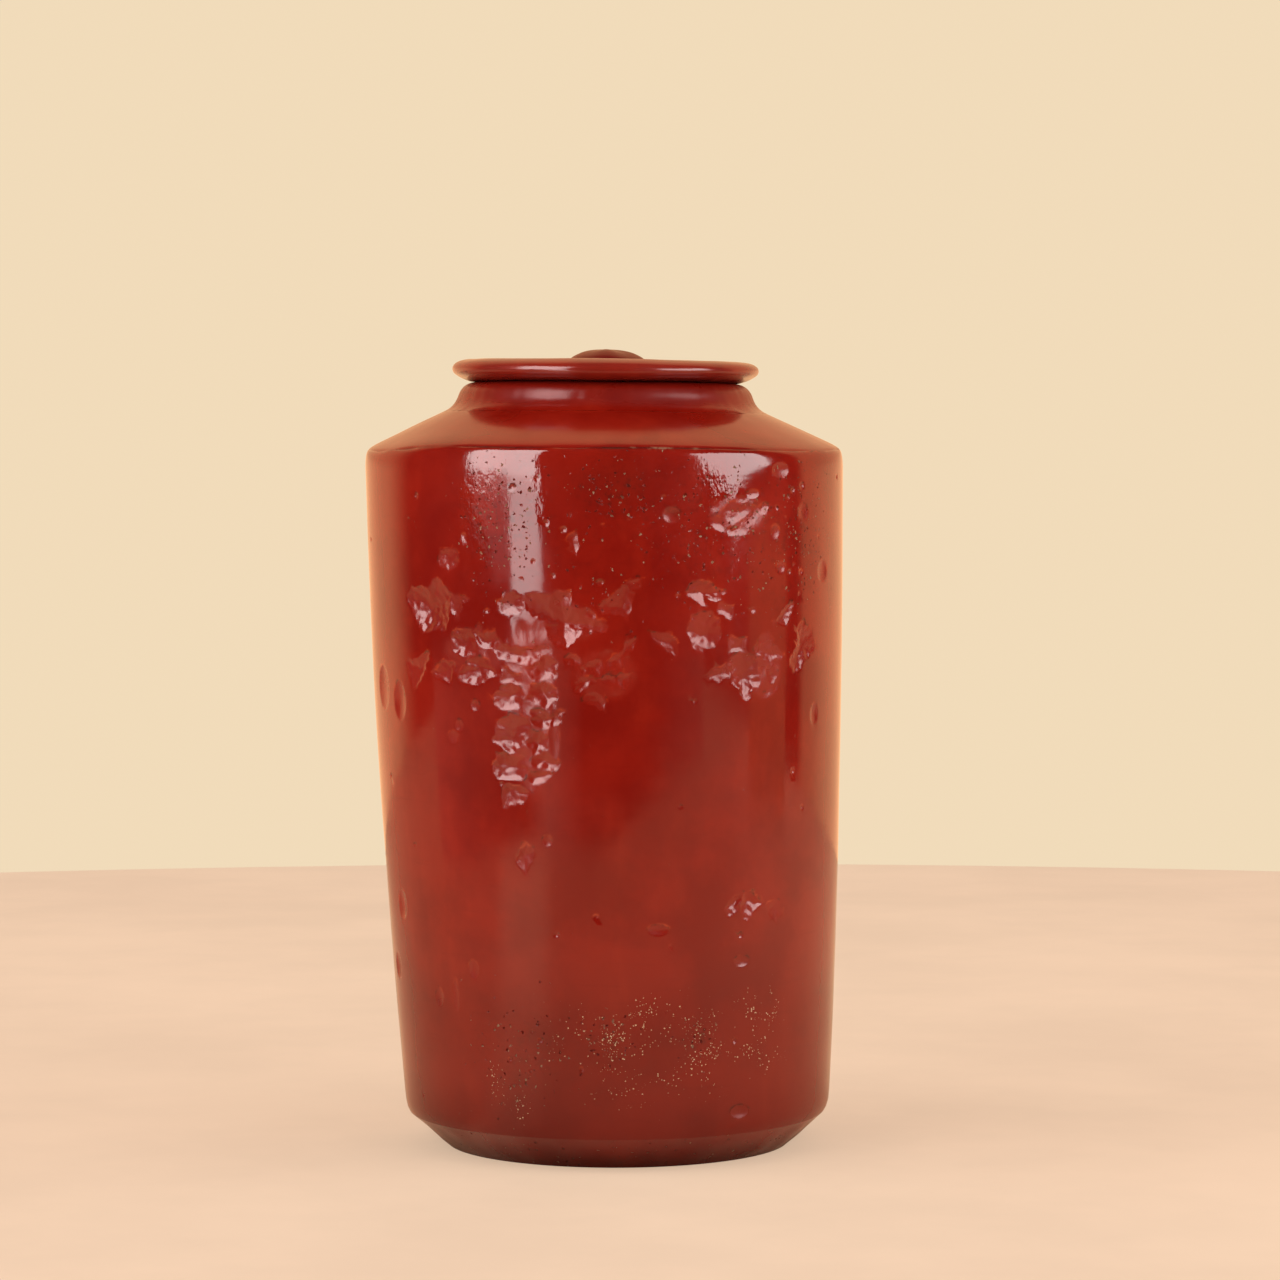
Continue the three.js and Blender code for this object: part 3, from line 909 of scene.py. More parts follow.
def mesh_piece(name, points, faces, maps, values):
    """An object with a checked, smoothly shaded mesh, its map and its named values."""
    mesh = bpy.data.meshes.new(name)
    mesh.from_pydata(points.tolist(), [], faces)
    mesh.shade_smooth()
    mesh.set_sharp_from_angle(angle=SHARP_ANGLE)
    layer = mesh.uv_layers.new(name="OFBake")
    layer.uv.foreach_set("vector", np.array(maps, np.float32).ravel())
    for key, value in values.items():
        mesh.attributes.new(key, "FLOAT", "POINT").data.foreach_set("value", value.astype(np.float32))
    if mesh.validate():
        raise RuntimeError(f"{name} has faces that had to be mended")
    piece = bpy.data.objects.new(name, mesh)
    bpy.context.scene.collection.objects.link(piece)
    return piece


def turned_piece(name, body, runs, columns, relief, split=1, ring=True):
    """A closed mesh turned from a profile, with relief on its coated outside.

    A ring's profile closes on itself, and any other starts and ends on the axis.
    """
    lattice = stack(runs)
    angles = np.linspace(-np.pi, np.pi, columns * split, endpoint=False)
    across = len(angles)
    out, values, busy = relief(angles, lattice)
    out = np.where(lattice.skin[:, None], out, 0)
    cells = (len(lattice.points) - 1) // split
    fine = np.broadcast_to(busy, out.shape)[:-1].reshape(cells, split, columns, split).any((1, 3))
    faces, used = woven(fine, split)
    if ring:
        used[0] |= used[-1]
        used[-1] = False
    poles = lattice.points[:, 0] < ON_AXIS
    used[poles, 1:] = False
    number = np.cumsum(used.ravel()).reshape(used.shape) - 1
    number[poles] = number[poles][:, :1]
    if ring:
        number[-1] = number[0]
    radius = lattice.radii + lattice.outward[:, :1] * out
    height = lattice.heights + lattice.outward[:, 1:] * out
    points = placed(body, angles, radius, height)[used]
    corners, maps = [], []
    for face in faces:
        met = []
        for row, column in face:
            vertex = int(number[row, column % across])
            if vertex not in met:
                met.append(vertex)
                maps.append((column / across, lattice.travel[row] / lattice.travel[-1]))
        corners.append(met)
    values = {"bare": lattice.bare[:, None], **values}
    shown = {key: np.broadcast_to(value, used.shape)[used] for key, value in values.items()}
    return mesh_piece(name, points, corners, maps, shown)


def finished(piece, body, node, material):
    """Gives a piece its finish and its place in the frame."""
    piece.data.materials.append(material)
    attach(piece, body)
    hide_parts(node)
    return {"FINISHED"}


# Finishes

def opaque(colour):
    """A plain colour with its alpha, or another node's output as it is."""
    return colour if isinstance(colour, bpy.types.NodeSocket) else (*colour, 1.0)


def scaled(colour, share):
    """A lighter or darker colour."""
    return tuple(share * part for part in colour)


class Nodes:
    """The nodes of a material or world, with short ways to add more.

    Values and colours that a node takes in are plain ones or other nodes' outputs.
    """

    def __init__(self, owner):
        owner.use_nodes = True
        self.tree = owner.node_tree
        self.place = None

    def feed(self, socket, value):
        """Gives an input its value, or links it to another node's output."""
        if isinstance(value, bpy.types.NodeSocket):
            self.tree.links.new(value, socket)
        else:
            socket.default_value = value

    def node(self, kind, inputs=None, **settings):
        """A new node with its settings and inputs."""
        made = self.tree.nodes.new(kind)
        for key, value in settings.items():
            setattr(made, key, value)
        for key, value in (inputs or {}).items():
            self.feed(made.inputs[key], value)
        return made

    def maths(self, operation, first, second=0.0):
        """The output of one sum."""
        return self.node("ShaderNodeMath", {0: first, 1: second}, operation=operation).outputs[0]

    def times(self, first, *others):
        """The product of some values."""
        for other in others:
            first = self.maths("MULTIPLY", first, other)
        return first

    def plus(self, first, second):
        """The sum of two values."""
        return self.maths("ADD", first, second)

    def larger(self, first, second):
        """The larger of two values."""
        return self.maths("MAXIMUM", first, second)

    def vector(self, operation, first, second):
        """The output of one sum with two vectors, or with a vector and a scale."""
        key = "Scale" if operation == "SCALE" else 1
        return self.node("ShaderNodeVectorMath", {0: first, key: second}, operation=operation).outputs[0]

    def ramp(self, value, low, high, start=0.0, end=1.0):
        """A value carried smoothly from one range to another."""
        inputs = {"Value": value, "From Min": low, "From Max": high, "To Min": start, "To Max": end}
        return self.node("ShaderNodeMapRange", inputs, interpolation_type="SMOOTHSTEP").outputs["Result"]

    def between(self, share, first, second):
        """A value between two others."""
        return self.node("ShaderNodeMix", {0: share, 2: first, 3: second}).outputs[0]

    def blended(self, share, first, second):
        """One colour over another."""
        inputs = {0: share, 6: opaque(first), 7: opaque(second)}
        return self.node("ShaderNodeMix", inputs, data_type="RGBA").outputs[2]

    def layered(self, colour, layers):
        """A colour with others over it, each as (share, colour)."""
        for share, over in layers:
            colour = self.blended(share, colour, over)
        return colour

    def noise(self, scale, detail=3.0, rough=0.5, stretch=(1, 1, 1)):
        """Cloudy noise, drawn out along an axis where stretch is small."""
        mapping = self.node("ShaderNodeMapping", {"Vector": self.place, "Scale": stretch})
        inputs = {"Vector": mapping.outputs[0], "Scale": scale, "Detail": detail, "Roughness": rough}
        return self.node("ShaderNodeTexNoise", inputs).outputs["Fac"]

    def specks(self, scale, size, density):
        """Round specks of uneven size, where density says how many of the cells hold one.

        Gives all of the specks, the pale few, and their depth.
        """
        ragged = self.node("ShaderNodeTexNoise", {"Vector": self.place, "Scale": 1.3 * scale, "Detail": 1.0})
        bent = self.vector("SUBTRACT", ragged.outputs["Color"], (0.5, 0.5, 0.5))
        bent = self.vector("ADD", self.place, self.vector("SCALE", bent, 1.3 / scale))
        cells = self.node("ShaderNodeTexVoronoi", {"Vector": bent, "Scale": scale})
        chosen = self.node("ShaderNodeSeparateColor", {"Color": cells.outputs["Color"]})
        held = self.ramp(self.maths("SUBTRACT", density, chosen.outputs["Red"]), 0.0, 0.05)
        radius = self.times(chosen.outputs["Green"], size)
        sunk = self.larger(self.maths("SUBTRACT", radius, cells.outputs["Distance"]), 0.0)
        spot = self.times(self.ramp(sunk, 0.0, 0.1), held)
        filled = self.ramp(chosen.outputs["Blue"], 0.45, 0.95, 0.0, 0.42)
        return spot, self.times(spot, filled), self.times(sunk, held)

    def attribute(self, name):
        """A named value of the mesh."""
        return self.node("ShaderNodeAttribute", attribute_name=name).outputs["Fac"]

    def bumps(self, layers):
        """The normal under bumps, each as (height, strength, distance, sunken), one over another."""
        below = {}
        for height, strength, distance, sunken in layers:
            inputs = {"Height": height, "Strength": strength, "Distance": distance, **below}
            normal = self.node("ShaderNodeBump", inputs, invert=sunken).outputs[0]
            below = {"Normal": normal}
        return normal


def mottled_red(nodes, finish, strokes):
    """The coat's reds: clouds, thin streaks and wiped strokes, flakes with their worn edges, painted glints
    along the joint line, painted shadow along flake edges, and darkening by painted shade and grime.
    """
    clouds = nodes.noise(24.0, detail=5.0, rough=0.6)
    streaks = nodes.noise(60.0, detail=4.0, rough=0.55, stretch=(1, 1, 0.3))
    rim = nodes.attribute("rim")
    thin = nodes.times(nodes.ramp(streaks, 0.5, 0.75), nodes.ramp(clouds, 0.3, 0.7, 0.1, 0.45))
    wiped = nodes.times(nodes.ramp(strokes, 0.55, 0.75), 0.3)
    # Orange on worn flake edges, and painted glints along the joint line.
    worn_and_glinting_edge = nodes.times(rim, nodes.ramp(nodes.noise(160.0), 0.42, 0.68, 0.0, 0.5))
    # Painted shadow along some upper edges of the flakes.
    shadowed_edge = nodes.times(rim, nodes.ramp(nodes.noise(210.0), 0.52, 0.62, 0.0, 0.75))
    colour = nodes.blended(nodes.ramp(clouds, 0.35, 0.62), finish.deep_red, finish.plain_red)
    return nodes.layered(colour, [
        (thin, finish.warm_red),
        (wiped, finish.deep_red),
        (nodes.times(nodes.attribute("scar"), 0.2), finish.warm_red),
        (worn_and_glinting_edge, finish.edge_orange),
        (shadowed_edge, finish.soot_and_shade),
        # Darkening by painted shade and grime.
        (nodes.times(nodes.attribute("shade_and_grime"), 0.7), finish.soot_and_shade),
    ])


def pits_and_dust(nodes, finish, colour):
    """Pinholes with painted shade in them, pale specks of dust with painted glints on some pinholes, dust in
    clusters, and smudges. Gives colour, pits, pale specks and depth.
    """
    pitted = nodes.attribute("pitted")
    pits, pale_pits, sunk = nodes.specks(950.0, 0.55, nodes.plus(nodes.times(pitted, 0.6), 0.012))
    clusters = nodes.ramp(nodes.noise(130.0), 0.38, 0.62)
    dust, _, _ = nodes.specks(2300.0, 0.65, nodes.times(nodes.attribute("dusty"), clusters, 0.42))
    smudged = nodes.noise(380.0, detail=4.0, rough=0.6)
    smudges = nodes.times(pitted, nodes.ramp(smudged, 0.5, 0.68, 0.0, 0.45))
    pale = nodes.larger(dust, pale_pits)
    # Pits are darkened as painted shade; pale specks are dust, and painted glints on some pits.
    layers = [(smudges, finish.soot_and_shade), (nodes.times(pits, 0.5), finish.soot_and_shade), (pale, finish.dust)]
    return nodes.layered(colour, layers), pits, pale, sunk


def joint_line(nodes, finish, colour):
    """The joint line: painted shade of its groove, from near black over dark red, and pale clay where worn.
    Gives colour and the line's share.
    """
    uneven = nodes.ramp(nodes.noise(220.0), 0.35, 0.65, -0.45, 0.45)
    tone = nodes.plus(nodes.attribute("seam_tone"), uneven)
    # Near black and dark red are painted shade in the groove; pale clay shows where it is worn.
    seam = nodes.blended(nodes.ramp(tone, -0.7, -0.4), finish.soot_and_shade, scaled(finish.deep_red, 0.4))
    seam = nodes.blended(nodes.ramp(tone, 0.35, 0.8, 0.0, 0.5), seam, finish.clay)
    share = nodes.times(nodes.attribute("seam"), nodes.ramp(nodes.noise(55.0), 0.35, 0.5, 0.3, 0.95))
    return nodes.blended(share, colour, seam), share


def bare_clay(nodes, finish, colour):
    """Bare clay where the coat stops. Gives colour, the clay's share and its grit."""
    grit = nodes.noise(900.0, detail=3.0, rough=0.7)
    cloud = nodes.noise(45.0, detail=4.0, rough=0.6)
    clay = nodes.blended(nodes.ramp(cloud, 0.3, 0.7), scaled(finish.clay, 0.55), finish.clay)
    clay = nodes.blended(nodes.ramp(grit, 0.62, 0.72, 0.0, 0.5), clay, finish.soot_and_shade)
    share = nodes.ramp(nodes.plus(nodes.attribute("bare"), nodes.times(cloud, 0.3)), 0.55, 0.75)
    return nodes.blended(share, colour, clay), share, grit


def red_coat():
    """Glossy red over clay: mottled, brushed, pitted and dusty, orange at worn edges, darkened by painted
    shade and grime, and bare inside.
    """
    found = bpy.data.materials.get("red_coat")
    if found:
        return found
    finish = bpy.context.scene.canister_finish
    material = bpy.data.materials.new("red_coat")
    nodes = Nodes(material)
    nodes.place = nodes.node("ShaderNodeTexCoord").outputs["Object"]
    shader = nodes.tree.nodes["Principled BSDF"]
    scar, shade_and_grime, dull = nodes.attribute("scar"), nodes.attribute("shade_and_grime"), nodes.attribute("dull")
    strokes = nodes.noise(36.0, detail=4.0, rough=0.6, stretch=(1, 1, 11))

    colour = mottled_red(nodes, finish, strokes)
    colour, pits, pale, sunk = pits_and_dust(nodes, finish, colour)
    colour, seam = joint_line(nodes, finish, colour)
    # Dust colour over the coat: a faint film, and a painted sheen on the top of the lid's rim.
    colour = nodes.blended(nodes.attribute("dust_and_sheen"), colour, finish.dust)
    colour, uncoated, grit = bare_clay(nodes, finish, colour)
    nodes.feed(shader.inputs["Base Color"], colour)

    uneven = nodes.noise(38.0, detail=4.0, rough=0.6)
    rough = nodes.ramp(uneven, 0.35, 0.75, finish.gloss, finish.gloss + 0.08)
    for mark, more in [(scar, 0.14), (shade_and_grime, 0.15), (dull, 0.25)]:
        rough = nodes.plus(rough, nodes.times(mark, more))
    for mark, least in [(nodes.larger(pale, pits), 0.6), (seam, 0.5), (uncoated, 0.8)]:
        rough = nodes.larger(rough, nodes.times(mark, least))
    nodes.feed(shader.inputs["Roughness"], rough)
    shader.inputs["IOR"].default_value = 1.5
    clean = nodes.ramp(shade_and_grime, 0.0, 1.0, 0.5, 0.15)
    for mark, left in [(pits, 0.1), (seam, 0.2), (dull, 0.5)]:
        clean = nodes.times(clean, nodes.ramp(mark, 0.0, 1.0, 1.0, left))
    nodes.feed(shader.inputs["Specular IOR Level"], clean)

    scored = nodes.larger(nodes.attribute("scratched"), nodes.times(scar, 0.4))
    lines = nodes.noise(520.0, detail=2.0, rough=0.6, stretch=(1, 1, 0.5))
    scratches = nodes.times(lines, scored)
    nodes.feed(shader.inputs["Normal"], nodes.bumps([
        (strokes, 0.25, 0.04 * MM, False),
        (scratches, 1.0, 0.2 * MM, False),
        (sunk, 1.0, 0.9 * MM, True),
        (nodes.times(grit, uncoated), 0.5, 0.3 * MM, False),
    ]))
    return material


# Operators

class CANISTER_OT_base_disc(bpy.types.Operator):
    """Make the bevelled foot, with bare clay under it"""

    bl_idname = "canister.base_disc"
    bl_label = "Base disc"

    def execute(self, context):
        hollow = (0.0, HOLLOW_DEPTH)
        hollow_edge = (HOLLOW_RADIUS - 2 * MM, HOLLOW_DEPTH)
        ring = (HOLLOW_RADIUS, 0.0)
        foot = (FOOT_RADIUS, 0.0)
        bevel = (BEVEL_RADIUS, BEVEL_Z)
        spigot = (BASE_SPIGOT_RADIUS, BEVEL_Z)
        spigot_top = (BASE_SPIGOT_RADIUS, FLOOR_Z)
        runs = [
            bare(polyline([hollow, hollow_edge, ring, foot], [8, 1, 4])),
            coated(line(foot, bevel, 16)),
            bare(polyline([bevel, spigot, spigot_top, (0.0, FLOOR_Z)], [1, 1, 10])),
        ]
        piece = turned_piece("clay_base", "jar", runs, columns=320, relief=base_relief, ring=False)
        return finished(piece, "jar", "base_disc", red_coat())


class CANISTER_OT_body_wall(bpy.types.Operator):
    """Make the worn wall"""

    bl_idname = "canister.body_wall"
    bl_label = "Body wall"

    def execute(self, context):
        split = 6
        bevel = (BEVEL_RADIUS, BEVEL_Z)
        heel = (HEEL_RADIUS, HEEL_Z)
        body_top = (BODY_RADIUS, BODY_TOP_Z)
        seat = (SEAT_RADIUS, SHOULDER_Z)
        inner_top = (BODY_RADIUS - WALL, SHOULDER_Z)
        inner_body_top = (BODY_RADIUS - WALL, BODY_TOP_Z)
        inner_heel = (HEEL_RADIUS - WALL, HEEL_Z)
        inner_foot = (BASE_SPIGOT_RADIUS + SLIP, BEVEL_Z)
        runs = [
            coated(curve(bevel, (HEEL_RADIUS - 0.3 * MM, BEVEL_Z + 1.7 * MM), heel, 3 * split)),
            coated(curve(heel, (BELLY_RADIUS, BELLY_Z), body_top, 84 * split)),
            coated(curve(body_top, (BODY_RADIUS, SHOULDER_Z - 1 * MM), seat, 5 * split)),
            bare(polyline([seat, inner_top, inner_body_top], [split, 2 * split])),
            bare(curve(inner_body_top, (BELLY_RADIUS - WALL, BELLY_Z), inner_heel, 14 * split)),
            bare(polyline([inner_heel, inner_foot, bevel], [split, split])),
        ]
        piece = turned_piece("clay_wall", "jar", runs, columns=208, relief=wall_relief, split=split)
        return finished(piece, "jar", "body_wall", red_coat())


class CANISTER_OT_shoulder_ring(bpy.types.Operator):
    """Make the sloping shoulder"""

    bl_idname = "canister.shoulder_ring"
    bl_label = "Shoulder ring"

    def execute(self, context):
        seat = (SEAT_RADIUS, SHOULDER_Z)
        neck_seam = (NECK_SEAM_RADIUS, NECK_SEAM_Z)
        slope_foot = (SEAT_RADIUS - 4.5 * MM, SHOULDER_Z + 2.6 * MM)
        hole_top = (NECK_SPIGOT_RADIUS + SLIP, NECK_SEAM_Z)
        hole_foot = (NECK_SPIGOT_RADIUS + SLIP, NECK_SPIGOT_Z)
        skirt = (SKIRT_RADIUS, SKIRT_Z)
        skirt_top = (SKIRT_RADIUS, SHOULDER_Z)
        runs = [
            coated(curve(seat, (SEAT_RADIUS - 1 * MM, SHOULDER_Z + 1 * MM), slope_foot, 14)),
            coated(line(slope_foot, neck_seam, 30)),
            bare(polyline([neck_seam, hole_top, hole_foot, skirt, skirt_top, seat], [2, 2, 8, 2, 2])),
        ]
        piece = turned_piece("clay_shoulder", "jar", runs, columns=400, relief=shoulder_relief)
        return finished(piece, "jar", "shoulder_ring", red_coat())


class CANISTER_OT_neck_collar(bpy.types.Operator):
    """Make the neck with its rounded lip"""

    bl_idname = "canister.neck_collar"
    bl_label = "Neck collar"

    def execute(self, context):
        seam = (NECK_SEAM_RADIUS, NECK_SEAM_Z)
        waist = (NECK_RADIUS, NECK_WAIST_Z)
        lip = (LIP_FLAT_RADIUS, LIP_Z)
        mouth_edge = (MOUTH_RADIUS + EDGE, LIP_Z)
        mouth = (MOUTH_RADIUS, LIP_Z - EDGE)
        throat = (MOUTH_RADIUS, LIP_Z - 6 * MM)
        spigot = (MOUTH_RADIUS, NECK_SPIGOT_Z)
        spigot_outer = (NECK_SPIGOT_RADIUS, NECK_SPIGOT_Z)
        spigot_top = (NECK_SPIGOT_RADIUS, NECK_SEAM_Z)
        runs = [
            coated(curve(seam, (NECK_RADIUS + 1.3 * MM, NECK_SEAM_Z + 1.7 * MM), waist, 14)),
            coated(curve(waist, (NECK_RADIUS - 1.5 * MM, LIP_Z), lip, 14)),
            inner_coat(line(lip, mouth_edge, 2)),
            inner_coat(curve(mouth_edge, (MOUTH_RADIUS, LIP_Z), mouth, 4)),
            inner_coat(line(mouth, throat, 4)),
            bare(polyline([throat, spigot, spigot_outer, spigot_top, seam], [6, 2, 2, 2])),
        ]
        piece = turned_piece("clay_neck", "jar", runs, columns=320, relief=neck_relief)
        return finished(piece, "jar", "neck_collar", red_coat())


class CANISTER_OT_lid_plate(bpy.types.Operator):
    """Make the saucer of the lid"""

    bl_idname = "canister.lid_plate"
    bl_label = "Lid plate"

    def execute(self, context):
        groove_inner, groove_outer = TONGUE_INNER - SLIP, TONGUE_OUTER + SLIP
        groove_top = TONGUE_TOP_Z + SLIP
        rest_inner = (MOUTH_RADIUS, LIP_Z)
        rest = (LID_REST_RADIUS, LIP_Z)
        under = (LID_RADIUS - 1.6 * MM, LIP_Z + 1.9 * MM)
        widest = (LID_RADIUS, LIP_Z + 4.1 * MM)
        brim = (LID_RADIUS - 5.5 * MM, LID_TOP_Z)
        dish = (DISH_RADIUS, DISH_Z)
        socket = (TENON_RADIUS + SLIP, DISH_Z)
        socket_foot = (TENON_RADIUS + SLIP, TENON_Z)
        underside = [
            (0.0, LID_UNDER_Z), (groove_inner, LID_UNDER_Z), (groove_inner, groove_top),
            (groove_outer, groove_top), (groove_outer, LID_UNDER_Z), (FLANGE_RADIUS, LID_UNDER_Z),
            rest_inner,
        ]
        runs = [
            bare(polyline(underside, [10, 1, 1, 1, 1, 2])),
            inner_coat(line(rest_inner, rest, 2)),
            coated(curve(rest, (LID_RADIUS - 4 * MM, LIP_Z + 0.4 * MM), under, 10)),
            coated(curve(under, (LID_RADIUS, LIP_Z + 2.7 * MM), widest, 8)),
            coated(curve(widest, (LID_RADIUS - 0.1 * MM, LID_TOP_Z - 1 * MM), brim, 16)),
            coated(curve(brim, (DISH_RADIUS + 10 * MM, LID_TOP_Z), dish, 16)),
            coated(line(dish, socket, 16)),
            inner_coat(polyline([socket, socket_foot, (0.0, TENON_Z)], [2, 4])),
        ]
        piece = turned_piece("clay_lid", "lid", runs, columns=320, relief=lid_relief, ring=False)
        return finished(piece, "lid", "lid_plate", red_coat())


class CANISTER_OT_lid_flange(bpy.types.Operator):
    """Make the bare ring under the lid"""

    bl_idname = "canister.lid_flange"
    bl_label = "Lid flange"

    def execute(self, context):
        inner_edge = (FLANGE_INNER + EDGE, FLANGE_Z)
        outer_edge = (FLANGE_RADIUS - EDGE, FLANGE_Z)
        outer_round = (FLANGE_RADIUS, FLANGE_Z + EDGE)
        inner_round = (FLANGE_INNER, FLANGE_Z + EDGE)
        top = [
            outer_round, (FLANGE_RADIUS, LID_UNDER_Z), (TONGUE_OUTER, LID_UNDER_Z),
            (TONGUE_OUTER, TONGUE_TOP_Z), (TONGUE_INNER, TONGUE_TOP_Z), (TONGUE_INNER, LID_UNDER_Z),
            (FLANGE_INNER, LID_UNDER_Z), inner_round,
        ]
        runs = [
            bare(line(inner_edge, outer_edge, 3)),
            bare(curve(outer_edge, (FLANGE_RADIUS, FLANGE_Z), outer_round, 5)),
            bare(polyline(top, [5, 1, 1, 1, 1, 1, 5])),
            bare(curve(inner_round, (FLANGE_INNER, FLANGE_Z), inner_edge, 5)),
        ]
        piece = turned_piece("clay_flange", "lid", runs, columns=240, relief=flange_relief)
        return finished(piece, "lid", "lid_flange", red_coat())


class CANISTER_OT_lid_knob(bpy.types.Operator):
    """Make the button knob"""

    bl_idname = "canister.lid_knob"
    bl_label = "Lid knob"

    def execute(self, context):
        tenon_foot = (TENON_RADIUS, TENON_Z)
        tenon_top = (TENON_RADIUS, DISH_Z)
        foot = (KNOB_RADIUS - 3 * MM, DISH_Z)
        head_under = (KNOB_RADIUS - 1 * MM, DISH_Z + 2 * MM)
        widest = (KNOB_RADIUS, DISH_Z + 3.2 * MM)
        crown = (KNOB_RADIUS - 3.2 * MM, KNOB_TOP_Z - 1.7 * MM)
        runs = [
            inner_coat(polyline([(0.0, TENON_Z), tenon_foot, tenon_top, foot], [3, 2, 2])),
            coated(curve(foot, (KNOB_RADIUS - 5 * MM, DISH_Z + 1.2 * MM), head_under, 10)),
            coated(curve(head_under, (KNOB_RADIUS, DISH_Z + 2.3 * MM), widest, 6)),
            coated(curve(widest, (KNOB_RADIUS, DISH_Z + 4.4 * MM), crown, 8)),
            coated(curve(crown, (KNOB_RADIUS / 2, KNOB_TOP_Z), (0.0, KNOB_TOP_Z), 14)),
        ]
        piece = turned_piece("clay_knob", "lid", runs, columns=160, relief=knob_relief, ring=False)
        return finished(piece, "lid", "lid_knob", red_coat())


# Stage: outlines of cards are (bearing, elevation) in degrees, seen from the upper wall

CARD_LEVEL = 226 * MM
LAMP_WHITE = (1.0, 0.97, 0.95)
LEFT_SOFTBOX = [
    (-66.5, 1.8), (-74, 50), (-32.5, 50), (-32, 8), (-31.5, -0.4), (-43, -0.4), (-47, 1.3), (-56, 1.6)]
LEFT_STRIP = [(-42, -10.3), (-42, 1), (-28, 1), (-28, -10.3)]
LEFT_HAZE = [(-62, 1), (-42, 1), (-42, -6.5), (-50, -6.5), (-62, -3)]
RIGHT_SOFTBOX = [
    (63, -1.0), (70, 1.6), (76, 3.2), (83, 4.7), (86, 6.2), (86, 32), (46, 32), (46.6, 5.0), (54, 2.7),
    (60, 0.7)]
LEFT_FILL = [(-100, -5), (-100, 55), (-25, 55), (-25, -5)]
RIGHT_FILL = [(25, -5), (25, 55), (100, 55), (100, -5)]
TOP_FILL = [(-1.5, -1.8, 2.3), (1.5, -1.8, 2.3), (1.5, 1.2, 2.3), (-1.5, 1.2, 2.3)]
# Feet of the mirrored screens, as (x, y, share of the second colour)
TABLE_EDGE = [
    (-0.62, -0.02, 0.53), (-0.55, -0.3, 0.76), (-0.42, -0.52, 0.95), (-0.31, -0.587, 0.1),
    (-0.12, -0.665, 1.0), (0.4, -0.88, 1.0), (0.9, -0.86, 0.53)]
RIGHT_SCREEN = [(0.95, -0.34, 0.0), (1.0, 0.06, 0.0)]
FLOOR_RADIUS = 1.45
FLOOR_FORWARD = 0.45
FLOOR_CORNERS = 128
FLOOR_SHINE = 0.62  # share of its own light in what the camera sees
# Tints of the mirrored floor: far, near with painted shade, and a wedge with a painted pool of light
FLOOR_FAR = (1.0, 0.94, 0.8)
FLOOR_NEAR = (0.72, 0.67, 0.56)
FLOOR_WEDGE = (1.3, 1.27, 1.12)
WEDGE_BEARING = math.radians(41)
# The mirrored paper: its direction, and its levels to the left and right under the horizon, and above it
PAPER_TURN = math.radians(5.5)
PAPER_LEFT = 1.6
PAPER_RIGHT = (1.25, 1.65)
PAPER_ABOVE = 1.2


def stage_piece(name, corners, faces, material):
    """A mesh that belongs to the stage."""
    mesh = bpy.data.meshes.new(name)
    mesh.from_pydata(corners, [], faces)
    mesh.materials.append(material)
    piece = bpy.data.objects.new(name, mesh)
    bpy.context.scene.collection.objects.link(piece)
    return piece


def flat_card(name, corners, material):
    """A stage piece of one flat face."""
    return stage_piece(name, corners, [list(range(len(corners)))], material)


def glow(name, colour, strength):
    """A material that only shines."""
    material = bpy.data.materials.new(name)
    nodes = Nodes(material)
    nodes.tree.nodes.remove(nodes.tree.nodes["Principled BSDF"])
    light = nodes.node("ShaderNodeEmission", {"Color": opaque(colour), "Strength": strength})
    nodes.feed(nodes.tree.nodes["Material Output"].inputs["Surface"], light.outputs[0])
    return material


def hung_card(name, outline, strength, facing, distance):
    """A bright card that the camera doesn't see, square to a bearing."""
    corners = []
    for bearing, elevation in outline:
        away = distance / math.cos(math.radians(bearing - facing))
        corners.append((
            away * math.sin(math.radians(bearing)),
            -away * math.cos(math.radians(bearing)),
            CARD_LEVEL + away * math.tan(math.radians(elevation)),
        ))
    card = flat_card(name, corners, glow(name, LAMP_WHITE, strength))
    card.visible_camera = False
    return card


def softbox(name, outline, strength, facing, distance):
    """The bright face of a lamp, as the coat mirrors it."""
    hung_card(name, outline, strength, facing, distance).visible_diffuse = False


def fill_card(name, outline, strength, facing, distance):
    """Broad soft light that the coat doesn't mirror."""
    hung_card(name, outline, strength, facing, distance).visible_glossy = False


def mirrored_tint(nodes, path):
    """The floor's tint in reflections: painted shade in front and on the left, with a painted pool of light
    in a wedge between.
    """
    apart = nodes.node("ShaderNodeSeparateXYZ", {0: nodes.place}).outputs
    in_front = nodes.ramp(apart["Y"], -0.5, -0.1, 1.0, 0.0)
    on_left = nodes.ramp(apart["X"], -0.5, -0.1, 1.0, 0.0)
    mirrored = nodes.blended(nodes.larger(in_front, on_left), FLOOR_FAR, FLOOR_NEAR)
    bearing = nodes.maths("ARCTAN2", apart["X"], nodes.times(apart["Y"], -1.0))
    aside = nodes.maths("ABSOLUTE", nodes.plus(bearing, WEDGE_BEARING))
    mirrored = nodes.blended(nodes.ramp(aside, 0.1, 0.3, 1.0, 0.0), mirrored, FLOOR_WEDGE)
    return nodes.blended(path.outputs["Is Glossy Ray"], (1.0, 1.0, 1.0), mirrored)


